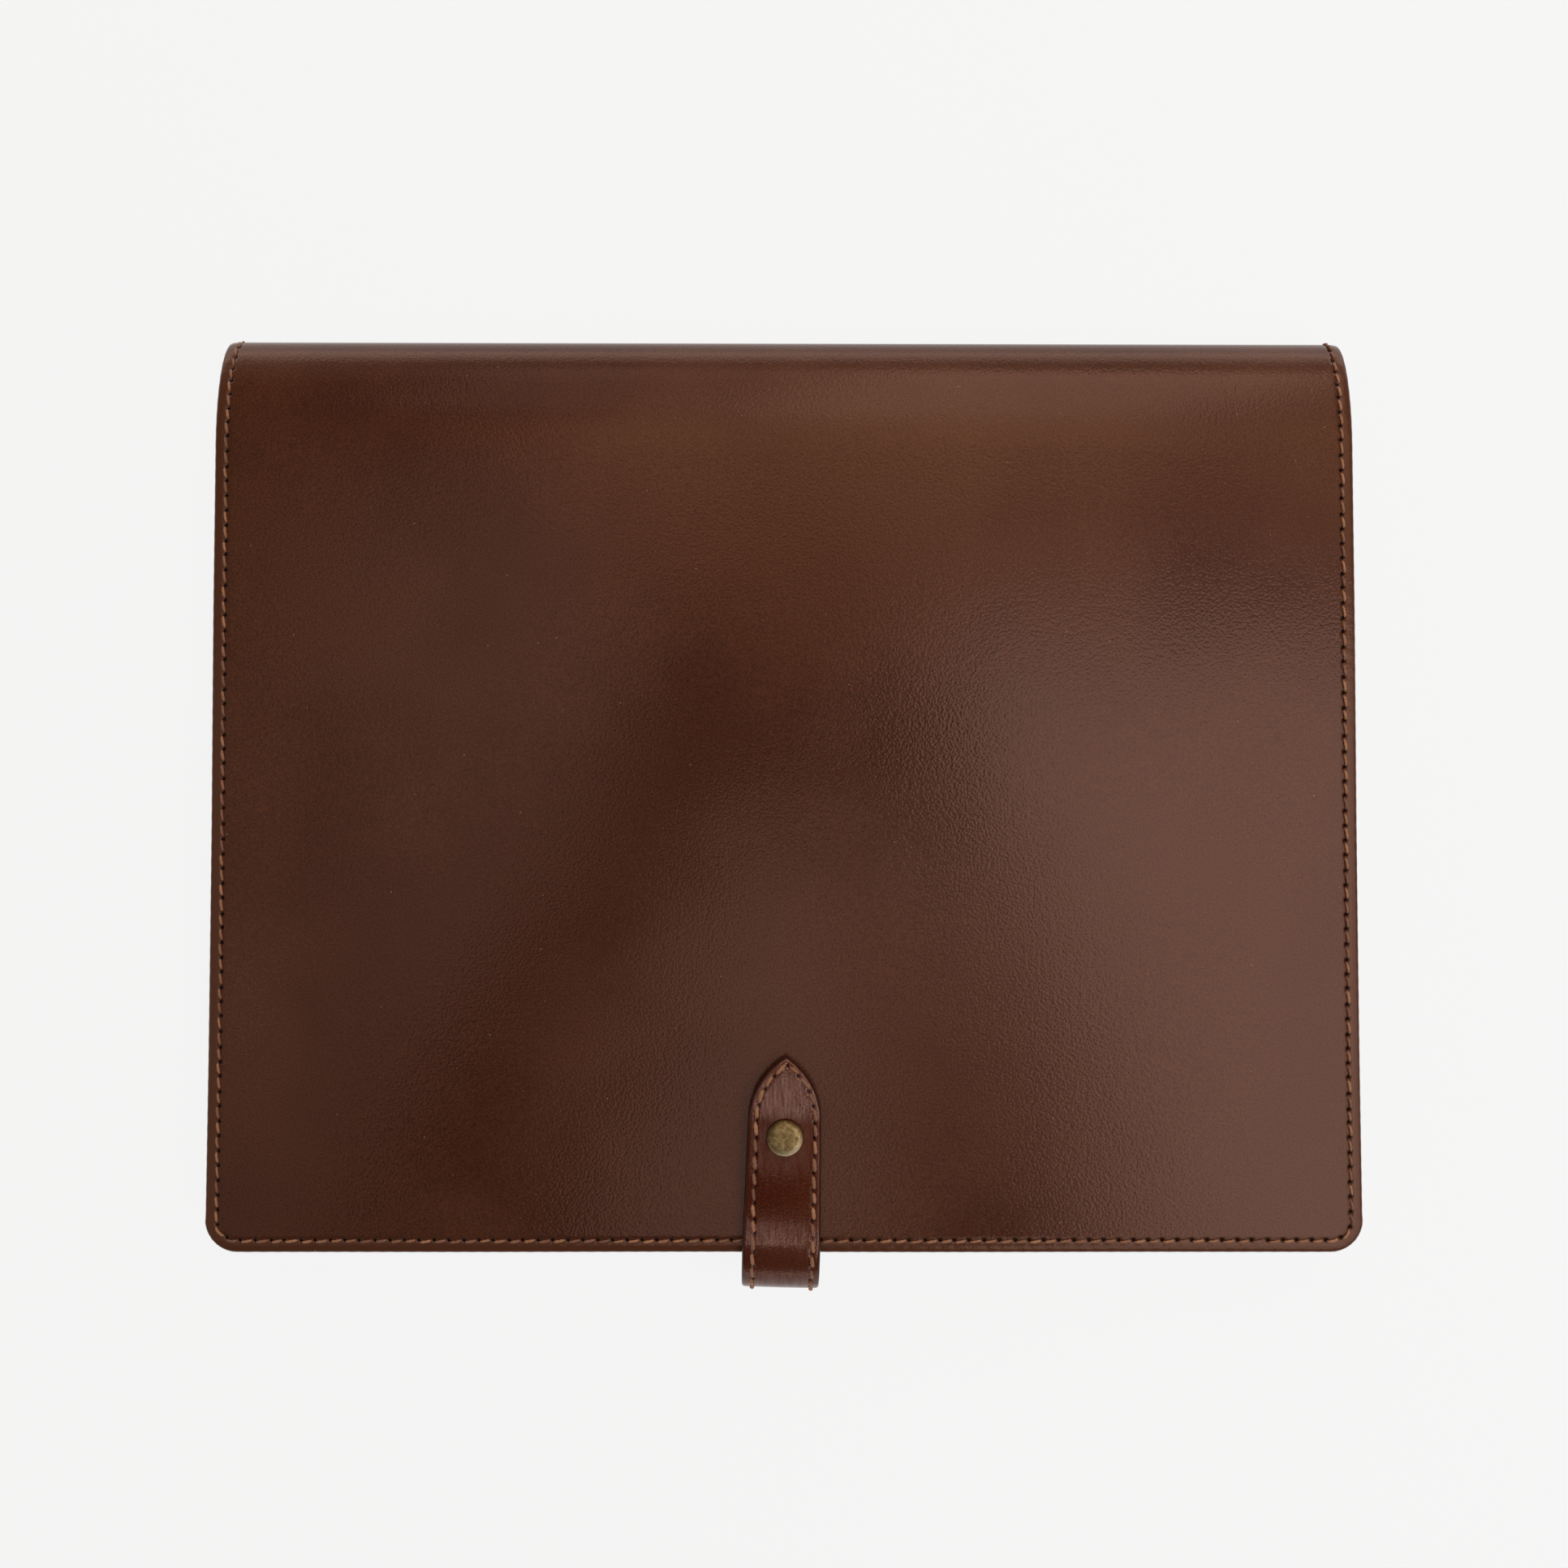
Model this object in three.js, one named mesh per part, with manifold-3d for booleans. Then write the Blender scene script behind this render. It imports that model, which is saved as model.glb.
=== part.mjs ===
// A landscape leather portfolio, closed and lying on its back. One leather cover makes the back, the round
// fold along the top and the full flap. A channel gusset and a front panel make the pocket under the flap.
// A pointed strap leaves the lower back seam, loops round the flap's lower edge and is held by a snap.
// Millimetres, +Z up, +Y towards the fold, +X to the right. The back lies on Z = 0.

import * as THREE from 'three';
import { mergeVertices } from 'three/addons/utils/BufferGeometryUtils.js';
import Module from 'manifold-3d';

const wasm = await Module();
wasm.setup();

// Driving dimensions

const FLAP_WIDTH = 350.6; // across the flap's lower edge, its widest place
const COVER_LENGTH = 279.1; // from the lower edge to the outermost line of the fold
const THICKNESS = 27; // from the floor to the flap's face at its lower edge
const COVER_LEATHER = 2.8;
const POCKET_LEATHER = 1.8; // gusset and front panel
const STRAP_LEATHER = 3.0; // two plies, sewn together
const CORNER_RADIUS = 10;
const EDGE_ROUND = 0.8; // how far a burnished leather edge rounds over
const EDGE_DROP = 0.3; // how much of the leather's thickness the edge loses there, on each face
const SEAM_INSET = 3; // from a leather edge to its row of stitches
const GAP = 0.3; // between pieces that are sewn or riveted together

// Fold: the flap falls away in a long upper quarter-ellipse, then turns under in a short lower one

const FOLD_UPPER_RUN = 36.8;
const FOLD_LOWER_RUN = 12;
const FOLD_LINE_HEIGHT = 10.5; // height of the outermost line
const FOLD_STEPS = 9; // for each quarter-ellipse

// Cover sections: y from the lower edge, half the cut width there, and the height of the flap's face.
// The flap is cut a little wider towards its lower edge and rises a little with the pocket under it.

const HALF_WIDTH_AT_FOLD = 172.2;
const FLAP_HEIGHT_AT_FOLD = 26.2;
const FLAP_SECTIONS = [
  { name: 'lower edge', y: 0, halfWidth: FLAP_WIDTH / 2, height: THICKNESS },
  { name: 'lower quarter', y: 60, halfWidth: 174.3, height: 27 },
  { name: 'middle', y: 130, halfWidth: 173.4, height: 26.8 },
  { name: 'upper quarter', y: 195, halfWidth: 172.9, height: 26.5 },
  {
    name: 'start of the fold',
    y: COVER_LENGTH - FOLD_UPPER_RUN,
    halfWidth: HALF_WIDTH_AT_FOLD + 0.2,
    height: FLAP_HEIGHT_AT_FOLD,
  },
];
const FLAP_STEPS = 10;
const CORNER_STEPS = 6;
const COVER_COLUMNS = 6; // between the two rows of stitches

// Pocket: a channel gusset sewn round the back, and a front panel on it, open towards the fold

const POCKET_TOP = 232; // the pocket's mouth, from the lower edge
const POCKET_HEIGHT = 22.2; // the front panel's face, under the flap
const CHANNEL_DEPTH = 7.4; // from the back's edge to the gusset's wall
const PANEL_INSET = 1;

// Strap: a loop out of the back seam, then flat on the flap to a pointed end

const STRAP_WIDTH = 23.5; // at the loop
const STRAP_NECK_WIDTH = 21.9; // where its point begins
const STRAP_OFF_SNAP = -0.2; // its middle line lies this far left of the snap
const STRAP_POINT_LENGTH = 19; // two arcs that meet at the point
const STRAP_POINT_BLUNT = 0.7; // half-width left at the very end
const STRAP_REACH = 60; // point, from the flap's lower edge
const STRAP_FACE_HEIGHT = 32; // upper face at the snap
const STRAP_POINT_DROP = 1.4; // the point bends down to the flap
const STRAP_POINT_CURL = 5; // power of the distance past the snap, so that most of the drop is at the end
const STRAP_SAG = 1.3; // it lies this much lower at the flap's edge than on the snap
const STRAP_SAG_START = 29; // from the lower edge
const STRAP_SAG_END = 9;
const STRAP_BEND_START = 4; // from the lower edge, where the loop begins
const LOOP_REACH = 13; // outermost line of the loop, past the lower edge
const LOOP_HEIGHT = 17; // height of that line
const STRAP_ROOT = 6.6; // length sewn into the back seam
const STRAP_LEAN = THREE.MathUtils.degToRad(-1.5); // it is sewn on slightly out of square
const LOOP_STEPS = 8;
const SAG_STEPS = 5;
const STRAP_COLUMNS = 4;
const STRAP_NOTCH_PLAY = 3.6; // the gusset is cut away this much wider than the strap

// Snap: a domed cap riveted through the strap to a socket, on a stud riveted through the flap

const SNAP_X = 0.25; // right of the middle
const SNAP_Y = 36.1; // from the flap's lower edge
const CAP_RADIUS = 5.5;
const CAP_DOME = 1.5;
const CAP_RIM = 0.5;
const POST_RADIUS = 2.6;
const SOCKET_RADIUS = 4.5;
const SOCKET_BORE = 1.9;
const SOCKET_DEPTH = 2.3; // from its mouth to the end of its bore
const STUD_RADIUS = 1.5;
const STUD_FLANGE_RADIUS = 4.2;
const PLATE = 0.5; // sheet brass of the socket's and stud's flanges
const ROUND_STEPS = 32;

// Materials, from the finish of each leather and of the snap

const leather = (color, roughness) => new THREE.MeshStandardMaterial({ color, roughness, metalness: 0 });
const COVER_FINISH = leather(0x4b2a1f, 0.42);
const POCKET_FINISH = leather(0x55331f, 0.6);
const STRAP_FINISH = leather(0x43190f, 0.34);
const ANTIQUE_BRASS = new THREE.MeshStandardMaterial({ color: 0x846838, roughness: 0.45, metalness: 0.9 });

// Booleans

function toSolid(geometry) {
  const bare = geometry.clone();
  bare.deleteAttribute('normal');
  bare.deleteAttribute('uv');
  const merged = mergeVertices(bare, 1e-4);
  return new wasm.Manifold(
    new wasm.Mesh({
      numProp: 3,
      vertProperties: new Float32Array(merged.attributes.position.array),
      triVerts: new Uint32Array(merged.index.array),
    }),
  );
}

function toGeometry(solid) {
  const { vertProperties, triVerts } = solid.getMesh();
  return closedGeometry(vertProperties, triVerts);
}

function closedGeometry(positions, triangles) {
  const geometry = new THREE.BufferGeometry();
  geometry.setAttribute('position', new THREE.BufferAttribute(new Float32Array(positions), 3));
  geometry.setIndex([...triangles]);
  geometry.computeVertexNormals();
  return geometry;
}

function cut(geometry, tool) {
  return toGeometry(toSolid(geometry).subtract(toSolid(tool)));
}

function roundCutter(radius, x, y, fromZ, toZ) {
  const height = toZ - fromZ;
  const cutter = new THREE.CylinderGeometry(radius, radius, height, ROUND_STEPS);
  cutter.rotateX(Math.PI / 2);
  cutter.translate(x, y, fromZ + height / 2);
  return cutter;
}

// Curves

// A quarter-ellipse of (y, z) points, from the angle start to the angle end, without its last point.
function quarterEllipse(centreY, centreZ, run, rise, start, end, steps) {
  return Array.from({ length: steps }, (_, i) => {
    const angle = start + ((end - start) * i) / steps;
    return { y: centreY + run * Math.cos(angle), z: centreZ + rise * Math.sin(angle) };
  });
}

// Distances from a rounded end where rows are needed: the edge itself, its round-over, then the corner's arc.
function rowsFromEnd(length, steps) {
  const arcRows = Array.from({ length: steps }, (_, i) => {
    const angle = (Math.PI / 2) * ((i + 1) / steps);
    return length * (1 - Math.cos(angle));
  });
  return [0, EDGE_ROUND, ...arcRows.filter((distance) => distance > EDGE_ROUND * 1.5)];
}

// How much a corner's arc takes off the half-width, at a distance from the end.
function cornerInset(distance) {
  const rest = Math.max(0, CORNER_RADIUS - distance);
  return CORNER_RADIUS - Math.sqrt(CORNER_RADIUS ** 2 - rest ** 2);
}

// One column of the flap's section table at y, on straight lines between the sections.
function flapSection(column, y) {
  const after = FLAP_SECTIONS.findIndex((section) => section.y >= y);
  if (after <= 0) return FLAP_SECTIONS[after < 0 ? FLAP_SECTIONS.length - 1 : 0][column];
  const low = FLAP_SECTIONS[after - 1];
  const high = FLAP_SECTIONS[after];
  return THREE.MathUtils.lerp(low[column], high[column], (y - low.y) / (high.y - low.y));
}

// A leather wall swept along rows of { y, z, halfWidth } on its outer face. Its edges are rounded over:
// the outermost row and column keep only the middle of the wall's thickness.
function leatherWall(rows, thickness, columnsAcross) {
  const across = (halfWidth) => {
    const inset = Math.min(SEAM_INSET, halfWidth * 0.6); // both stay inside a narrow point
    const round = Math.min(EDGE_ROUND, halfWidth * 0.3);
    const flat = halfWidth - inset;
    const middle = Array.from({ length: columnsAcross + 1 }, (_, i) => flat * ((2 * i) / columnsAcross - 1));
    return [-halfWidth, round - halfWidth, ...middle, halfWidth - round, halfWidth];
  };
  const last = rows.length - 1;
  const columns = columnsAcross + 5;
  const positions = { outer: [], inner: [] };
  rows.forEach((row, r) => {
    const before = rows[Math.max(r - 1, 0)];
    const after = rows[Math.min(r + 1, last)];
    const tangent = new THREE.Vector2(after.y - before.y, after.z - before.z).normalize();
    const normal = { y: tangent.y, z: -tangent.x }; // out of the wall's outer face
    across(row.halfWidth).forEach((x, c) => {
      const onRim = r === 0 || r === last || c === 0 || c === columns - 1;
      const drop = onRim ? thickness * EDGE_DROP : 0;
      const outerDepth = drop;
      const innerDepth = thickness - drop;
      positions.outer.push(x, row.y - normal.y * outerDepth, row.z - normal.z * outerDepth);
      positions.inner.push(x, row.y - normal.y * innerDepth, row.z - normal.z * innerDepth);
    });
  });

  const outer = (r, c) => r * columns + c;
  const inner = (r, c) => rows.length * columns + r * columns + c;
  const triangles = [];
  const quad = (a, b, c, d) => triangles.push(a, b, c, a, c, d);
  for (let r = 0; r < last; r++) {
    for (let c = 0; c < columns - 1; c++) {
      quad(outer(r, c), outer(r + 1, c), outer(r + 1, c + 1), outer(r, c + 1));
      quad(inner(r, c), inner(r, c + 1), inner(r + 1, c + 1), inner(r + 1, c));
    }
    const right = columns - 1;
    quad(outer(r, 0), inner(r, 0), inner(r + 1, 0), outer(r + 1, 0));
    quad(outer(r, right), outer(r + 1, right), inner(r + 1, right), inner(r, right));
  }
  for (let c = 0; c < columns - 1; c++) {
    quad(outer(0, c), outer(0, c + 1), inner(0, c + 1), inner(0, c));
    quad(outer(last, c), inner(last, c), inner(last, c + 1), outer(last, c + 1));
  }
  return closedGeometry([...positions.outer, ...positions.inner], triangles);
}

// Pieces

function coverGeometry() {
  const endRows = rowsFromEnd(CORNER_RADIUS, CORNER_STEPS);
  const backRows = [...endRows, COVER_LENGTH - FOLD_LOWER_RUN - 1].map((y) => ({
    y,
    z: 0,
    halfWidth: HALF_WIDTH_AT_FOLD - cornerInset(y),
  }));
  const lowerFold = quarterEllipse(
    COVER_LENGTH - FOLD_LOWER_RUN,
    FOLD_LINE_HEIGHT,
    FOLD_LOWER_RUN,
    FOLD_LINE_HEIGHT,
    -Math.PI / 2,
    0,
    FOLD_STEPS,
  );
  const foldStart = COVER_LENGTH - FOLD_UPPER_RUN;
  const upperRise = FLAP_HEIGHT_AT_FOLD - FOLD_LINE_HEIGHT;
  const upperFold = quarterEllipse(
    foldStart,
    FOLD_LINE_HEIGHT,
    FOLD_UPPER_RUN,
    upperRise,
    0,
    Math.PI / 2,
    FOLD_STEPS,
  );
  const foldRows = [...lowerFold, ...upperFold].map((point) => ({ ...point, halfWidth: HALF_WIDTH_AT_FOLD }));
  const flapYs = Array.from({ length: FLAP_STEPS }, (_, i) =>
    THREE.MathUtils.lerp(foldStart, CORNER_RADIUS, i / FLAP_STEPS),
  );
  const flapRows = [...flapYs, ...endRows.toReversed()].map((y) => ({
    y,
    z: flapSection('height', y),
    halfWidth: flapSection('halfWidth', y) - cornerInset(y),
  }));
  const wall = leatherWall([...backRows, ...foldRows, ...flapRows], COVER_LEATHER, COVER_COLUMNS);
  return cut(wall, roundCutter(STUD_RADIUS + GAP, SNAP_X, SNAP_Y, POCKET_HEIGHT, STRAP_FACE_HEIGHT));
}

// The gusset's channel section as { inset, z } points, inset from the back's edge, open to the outside.
function gussetSection() {
  const low = COVER_LEATHER + GAP;
  const high = POCKET_HEIGHT - POCKET_LEATHER - GAP;
  const wall = CHANNEL_DEPTH + POCKET_LEATHER;
  const bend = POCKET_LEATHER; // the outside of each bend is an arc of this radius, in two steps
  const chamfer = bend * (1 - Math.SQRT1_2);
  return [
    { inset: EDGE_ROUND, z: low },
    { inset: wall - bend, z: low },
    { inset: wall - chamfer, z: low + chamfer },
    { inset: wall, z: low + bend },
    { inset: wall, z: high - bend },
    { inset: wall - chamfer, z: high - chamfer },
    { inset: wall - bend, z: high },
    { inset: PANEL_INSET + EDGE_ROUND, z: high },
    { inset: PANEL_INSET + EDGE_ROUND, z: high - POCKET_LEATHER },
    { inset: CHANNEL_DEPTH, z: high - POCKET_LEATHER },
    { inset: CHANNEL_DEPTH, z: low + POCKET_LEATHER },
    { inset: EDGE_ROUND, z: low + POCKET_LEATHER },
  ];
}

// The gusset's way round three sides of the back: a point on the edge and the direction that leads inwards.
function gussetStations() {
  const sideX = HALF_WIDTH_AT_FOLD;
  const corner = (centreX, fromAngle) =>
    Array.from({ length: CORNER_STEPS + 1 }, (_, i) => {
      const angle = fromAngle + ((Math.PI / 2) * i) / CORNER_STEPS;
      const out = new THREE.Vector2(Math.cos(angle), Math.sin(angle));
      const edge = new THREE.Vector2(centreX, CORNER_RADIUS).addScaledVector(out, CORNER_RADIUS);
      return { edge, inwards: out.negate() };
    });
  return [
    { edge: new THREE.Vector2(-sideX, POCKET_TOP), inwards: new THREE.Vector2(1, 0) },
    ...corner(-sideX + CORNER_RADIUS, Math.PI),
    ...corner(sideX - CORNER_RADIUS, -Math.PI / 2),
    { edge: new THREE.Vector2(sideX, POCKET_TOP), inwards: new THREE.Vector2(-1, 0) },
  ];
}

function gussetGeometry() {
  const section = gussetSection();
  const stations = gussetStations();
  const positions = stations.flatMap(({ edge, inwards }) =>
    section.flatMap(({ inset, z }) => [edge.x + inwards.x * inset, edge.y + inwards.y * inset, z]),
  );
  const count = section.length;
  const point = (station, i) => station * count + (i % count);
  const triangles = [];
  for (let s = 0; s < stations.length - 1; s++) {
    for (let i = 0; i < count; i++) {
      triangles.push(point(s, i), point(s + 1, i + 1), point(s + 1, i));
      triangles.push(point(s, i), point(s, i + 1), point(s + 1, i + 1));
    }
  }
  const outline = section.map(({ inset, z }) => new THREE.Vector2(inset, z));
  const lastStation = stations.length - 1;
  for (const [a, b, c] of THREE.ShapeUtils.triangulateShape(outline, [])) {
    triangles.push(point(0, a), point(0, c), point(0, b));
    triangles.push(point(lastStation, a), point(lastStation, b), point(lastStation, c));
  }
  const strapNotch = new THREE.BoxGeometry(
    STRAP_WIDTH + STRAP_NOTCH_PLAY,
    2 * CHANNEL_DEPTH,
    2 * STRAP_LEATHER,
  );
  strapNotch.translate(0, 0, COVER_LEATHER + GAP);
  return cut(closedGeometry(positions, triangles), strapNotch);
}

function frontPanelGeometry() {
  const side = HALF_WIDTH_AT_FOLD - PANEL_INSET - EDGE_ROUND;
  const low = PANEL_INSET + EDGE_ROUND;
  const top = POCKET_TOP - EDGE_ROUND;
  const radius = CORNER_RADIUS - low;
  const outline = new THREE.Shape();
  outline.moveTo(-side, top);
  outline.lineTo(-side, low + radius);
  outline.absarc(-side + radius, low + radius, radius, Math.PI, Math.PI * 1.5);
  outline.lineTo(side - radius, low);
  outline.absarc(side - radius, low + radius, radius, Math.PI * 1.5, Math.PI * 2);
  outline.lineTo(side, top);
  outline.closePath();
  const roundOver = POCKET_LEATHER * EDGE_DROP;
  const panel = new THREE.ExtrudeGeometry(outline, {
    depth: POCKET_LEATHER - 2 * roundOver,
    bevelEnabled: true,
    bevelThickness: roundOver,
    bevelSize: EDGE_ROUND,
    bevelSegments: 1,
    curveSegments: CORNER_STEPS,
  });
  panel.translate(0, 0, POCKET_HEIGHT - POCKET_LEATHER + roundOver);
  return panel;
}

// Half-width of the strap at a distance from its point: two arcs, then sides that widen to the loop.
function strapHalfWidth(distance) {
  const half = STRAP_NECK_WIDTH / 2;
  const arcRadius = (STRAP_POINT_LENGTH ** 2 + half ** 2) / (2 * half);
  const rest = Math.max(0, STRAP_POINT_LENGTH - distance);
  const sideLength = STRAP_REACH - STRAP_BEND_START - STRAP_POINT_LENGTH;
  const widened = THREE.MathUtils.clamp((distance - STRAP_POINT_LENGTH) / sideLength, 0, 1);
  const inPoint = Math.max(STRAP_POINT_BLUNT, half - arcRadius + Math.sqrt(arcRadius ** 2 - rest ** 2));
  return inPoint + (widened * (STRAP_WIDTH - STRAP_NECK_WIDTH)) / 2;
}

// Height of the strap's face at y: it drops to its point, and from the snap to the flap's edge.
function strapFaceHeight(y) {
  const pastSnap = Math.max(0, y - SNAP_Y) / (STRAP_REACH - SNAP_Y);
  const sagged = THREE.MathUtils.clamp((STRAP_SAG_START - y) / (STRAP_SAG_START - STRAP_SAG_END), 0, 1);
  const sag = (STRAP_SAG * (1 - Math.cos(Math.PI * sagged))) / 2;
  return STRAP_FACE_HEIGHT - STRAP_POINT_DROP * pastSnap ** STRAP_POINT_CURL - sag;
}

// The strap's outer face, from its point along the flap, round the loop and into the back seam.
function strapGeometry() {
  const bendY = STRAP_BEND_START;
  const loopRise = STRAP_FACE_HEIGHT - STRAP_SAG - LOOP_HEIGHT;
  const rootHeight = COVER_LEATHER + GAP;
  const pointDistances = [0, EDGE_ROUND, 2.2, 4.2, 6.8, 10, 13, 16, STRAP_POINT_LENGTH];
  const sagYs = Array.from({ length: SAG_STEPS + 1 }, (_, i) =>
    THREE.MathUtils.lerp(STRAP_SAG_START, STRAP_SAG_END, i / SAG_STEPS),
  );
  const onFlap = [...pointDistances.map((distance) => STRAP_REACH - distance), SNAP_Y, ...sagYs].map((y) => ({
    y,
    z: strapFaceHeight(y),
  }));
  const upperRun = bendY + LOOP_REACH;
  const upperLoop = quarterEllipse(
    bendY,
    LOOP_HEIGHT,
    upperRun,
    loopRise,
    Math.PI / 2,
    Math.PI,
    LOOP_STEPS,
  );
  const lowerLoop = quarterEllipse(
    0,
    LOOP_HEIGHT,
    LOOP_REACH,
    LOOP_HEIGHT - rootHeight,
    Math.PI,
    Math.PI * 1.5,
    LOOP_STEPS,
  );
  const root = [0, STRAP_ROOT - EDGE_ROUND, STRAP_ROOT].map((y) => ({ y, z: rootHeight }));
  const rows = [...onFlap, ...upperLoop, ...lowerLoop, ...root].map((row, i) => ({
    y: row.y - SNAP_Y,
    z: row.z,
    halfWidth: i < onFlap.length ? strapHalfWidth(STRAP_REACH - row.y) : STRAP_WIDTH / 2,
  }));
  const wall = leatherWall(rows, STRAP_LEATHER, STRAP_COLUMNS);
  wall.translate(STRAP_OFF_SNAP, 0, 0);
  return cut(wall, roundCutter(POST_RADIUS + GAP, 0, 0, THICKNESS, STRAP_FACE_HEIGHT + CAP_DOME));
}

function turned(points) {
  const lathe = new THREE.LatheGeometry(
    points.map(([radius, z]) => new THREE.Vector2(radius, z)),
    ROUND_STEPS,
  );
  lathe.rotateX(Math.PI / 2);
  return lathe;
}

function snapCapGeometry() {
  const seat = STRAP_FACE_HEIGHT + GAP;
  const underStrap = STRAP_FACE_HEIGHT - STRAP_LEATHER - GAP;
  const mouth = underStrap - PLATE;
  const domeSteps = 6;
  const dome = Array.from({ length: domeSteps + 1 }, (_, i) => {
    const angle = ((Math.PI / 2) * i) / domeSteps;
    return [CAP_RADIUS * Math.cos(angle), seat + CAP_RIM + CAP_DOME * Math.sin(angle)];
  });
  dome[domeSteps][0] = 0;
  return turned([
    [0, mouth + SOCKET_DEPTH],
    [SOCKET_BORE, mouth + SOCKET_DEPTH],
    [SOCKET_BORE, mouth],
    [SOCKET_RADIUS, mouth],
    [SOCKET_RADIUS, underStrap],
    [POST_RADIUS, underStrap],
    [POST_RADIUS, seat],
    [CAP_RADIUS - CAP_RIM, seat],
    ...dome,
  ]);
}

function snapStudGeometry() {
  const flapFace = flapSection('height', SNAP_Y);
  const inside = flapFace - COVER_LEATHER - GAP;
  const seat = flapFace + GAP;
  const socketMouth = STRAP_FACE_HEIGHT - STRAP_LEATHER - GAP - PLATE;
  return turned([
    [0, inside - PLATE],
    [STUD_FLANGE_RADIUS, inside - PLATE],
    [STUD_FLANGE_RADIUS, inside],
    [STUD_RADIUS, inside],
    [STUD_RADIUS, seat],
    [STUD_FLANGE_RADIUS, seat],
    [STUD_FLANGE_RADIUS, seat + PLATE],
    [STUD_RADIUS, seat + PLATE],
    [STUD_RADIUS, socketMouth + SOCKET_DEPTH - GAP],
    [0, socketMouth + SOCKET_DEPTH - GAP],
  ]);
}

// Assembly

function piece(name, geometry, material) {
  const mesh = new THREE.Mesh(geometry, material);
  mesh.name = name;
  return mesh;
}

// The strap and both halves of the snap share the strap's lean, which turns about the snap.
const closure = new THREE.Group();
closure.position.set(SNAP_X, SNAP_Y, 0);
closure.rotation.z = STRAP_LEAN;
closure.add(
  piece('strap', strapGeometry(), STRAP_FINISH),
  piece('snap_cap', snapCapGeometry(), ANTIQUE_BRASS),
  piece('snap_stud', snapStudGeometry(), ANTIQUE_BRASS),
);

const portfolio = new THREE.Group();
portfolio.add(
  piece('cover', coverGeometry(), COVER_FINISH),
  piece('gusset', gussetGeometry(), POCKET_FINISH),
  piece('front_panel', frontPanelGeometry(), POCKET_FINISH),
  closure,
);

// The origin is under the middle of the whole outline, on the floor.
const middle = new THREE.Box3().setFromObject(portfolio, true).getCenter(new THREE.Vector3());
portfolio.children.forEach((child) => {
  child.position.y -= middle.y;
});

export default portfolio;
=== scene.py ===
# The looks of a landscape leather portfolio, closed and lying on its back, seen from straight above.
# Sizes are in millimetres: x from the middle, y from the flap's lower edge towards the fold, z from the
# floor. A piece of leather is cut out flat, in x and run, where run follows its outer face round its bends.

import math
from dataclasses import dataclass

import bpy
import numpy as np
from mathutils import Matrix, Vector
from mathutils.geometry import delaunay_2d_cdt


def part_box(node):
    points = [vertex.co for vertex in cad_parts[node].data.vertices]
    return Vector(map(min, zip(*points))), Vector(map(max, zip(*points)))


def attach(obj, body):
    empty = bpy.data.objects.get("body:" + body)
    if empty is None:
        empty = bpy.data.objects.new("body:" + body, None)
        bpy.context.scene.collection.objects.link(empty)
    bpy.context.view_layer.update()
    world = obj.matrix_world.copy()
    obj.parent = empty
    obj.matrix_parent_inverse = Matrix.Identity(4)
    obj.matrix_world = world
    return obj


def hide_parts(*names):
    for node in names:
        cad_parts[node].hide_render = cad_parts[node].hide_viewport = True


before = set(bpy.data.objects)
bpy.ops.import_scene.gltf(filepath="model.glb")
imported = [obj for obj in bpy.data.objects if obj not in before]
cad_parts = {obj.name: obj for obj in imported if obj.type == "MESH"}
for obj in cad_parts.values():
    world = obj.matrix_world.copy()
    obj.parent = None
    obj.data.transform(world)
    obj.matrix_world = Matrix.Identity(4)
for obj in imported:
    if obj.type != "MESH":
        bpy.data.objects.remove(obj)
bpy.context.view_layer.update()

MM = 0.001
COVER_LOW, COVER_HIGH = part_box("cover")
LOWER_EDGE = COVER_LOW.y / MM

# Cover

COVER_LENGTH = (COVER_HIGH.y - COVER_LOW.y) / MM
COVER_LEATHER = 2.8
CORNER_RADIUS = 10
THICKNESS = 27
FOLD_UPPER_RUN = 36.8
FOLD_LOWER_RUN = 12
FOLD_LINE_HEIGHT = 10.5
FOLD_SKEW = 0.4
FOLD_START = COVER_LENGTH - FOLD_UPPER_RUN
FLAP_HEIGHT_AT_FOLD = 26.2
FLAP_HEIGHTS = [
    (0, THICKNESS),
    (60, THICKNESS),
    (130, 26.8),
    (195, 26.5),
    (FOLD_START, FLAP_HEIGHT_AT_FOLD),
]
# Half the cut width, by the distance along the leather from the flap's lower edge
FLAP_HALF_WIDTHS = [
    (0, 175.3),
    (60, 174.3),
    (130, 173.4),
    (195, 172.9),
    (FOLD_START, 172.4),
    (280, 172.2),
]
HALF_WIDTH_AT_FOLD = FLAP_HALF_WIDTHS[-1][1]
# Slow waves of leather that isn't pulled tight: share of the height, length across, length along, start
SLACK_HEIGHT = 0.12
SLACK_WAVES = [(1, 31, 47, 0), (0.7, 19, -38, 2)]
SLACK_ENDS = FOLD_START + 30
SLACK_IS_FULL = FOLD_START - 60
COVER_SPACING = 5
COVER_BEND_DEGREES = 4

# Pocket

POCKET_LEATHER = 1.8
POCKET_TOP = 232
POCKET_HEIGHT = 22.2
CHANNEL_DEPTH = 7.4
PANEL_INSET = 1
PANEL_SPACING = 10
GAP = 0.3
GUSSET_LOW = COVER_LEATHER + GAP
GUSSET_HIGH = POCKET_HEIGHT - POCKET_LEATHER - GAP
FLANGE_INSET = 0.8
WALL_BULGE = 0.5
BULGE_OUTER_RADIUS = 6
BULGE_INNER_RADIUS = 4
CUT_RADIUS = 0.5
CREASE_RADIUS = 0.4
GUSSET_BURNISH_REACH = 1.6
NOTCH_STEP = 0.05

# Strap and snap

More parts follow.
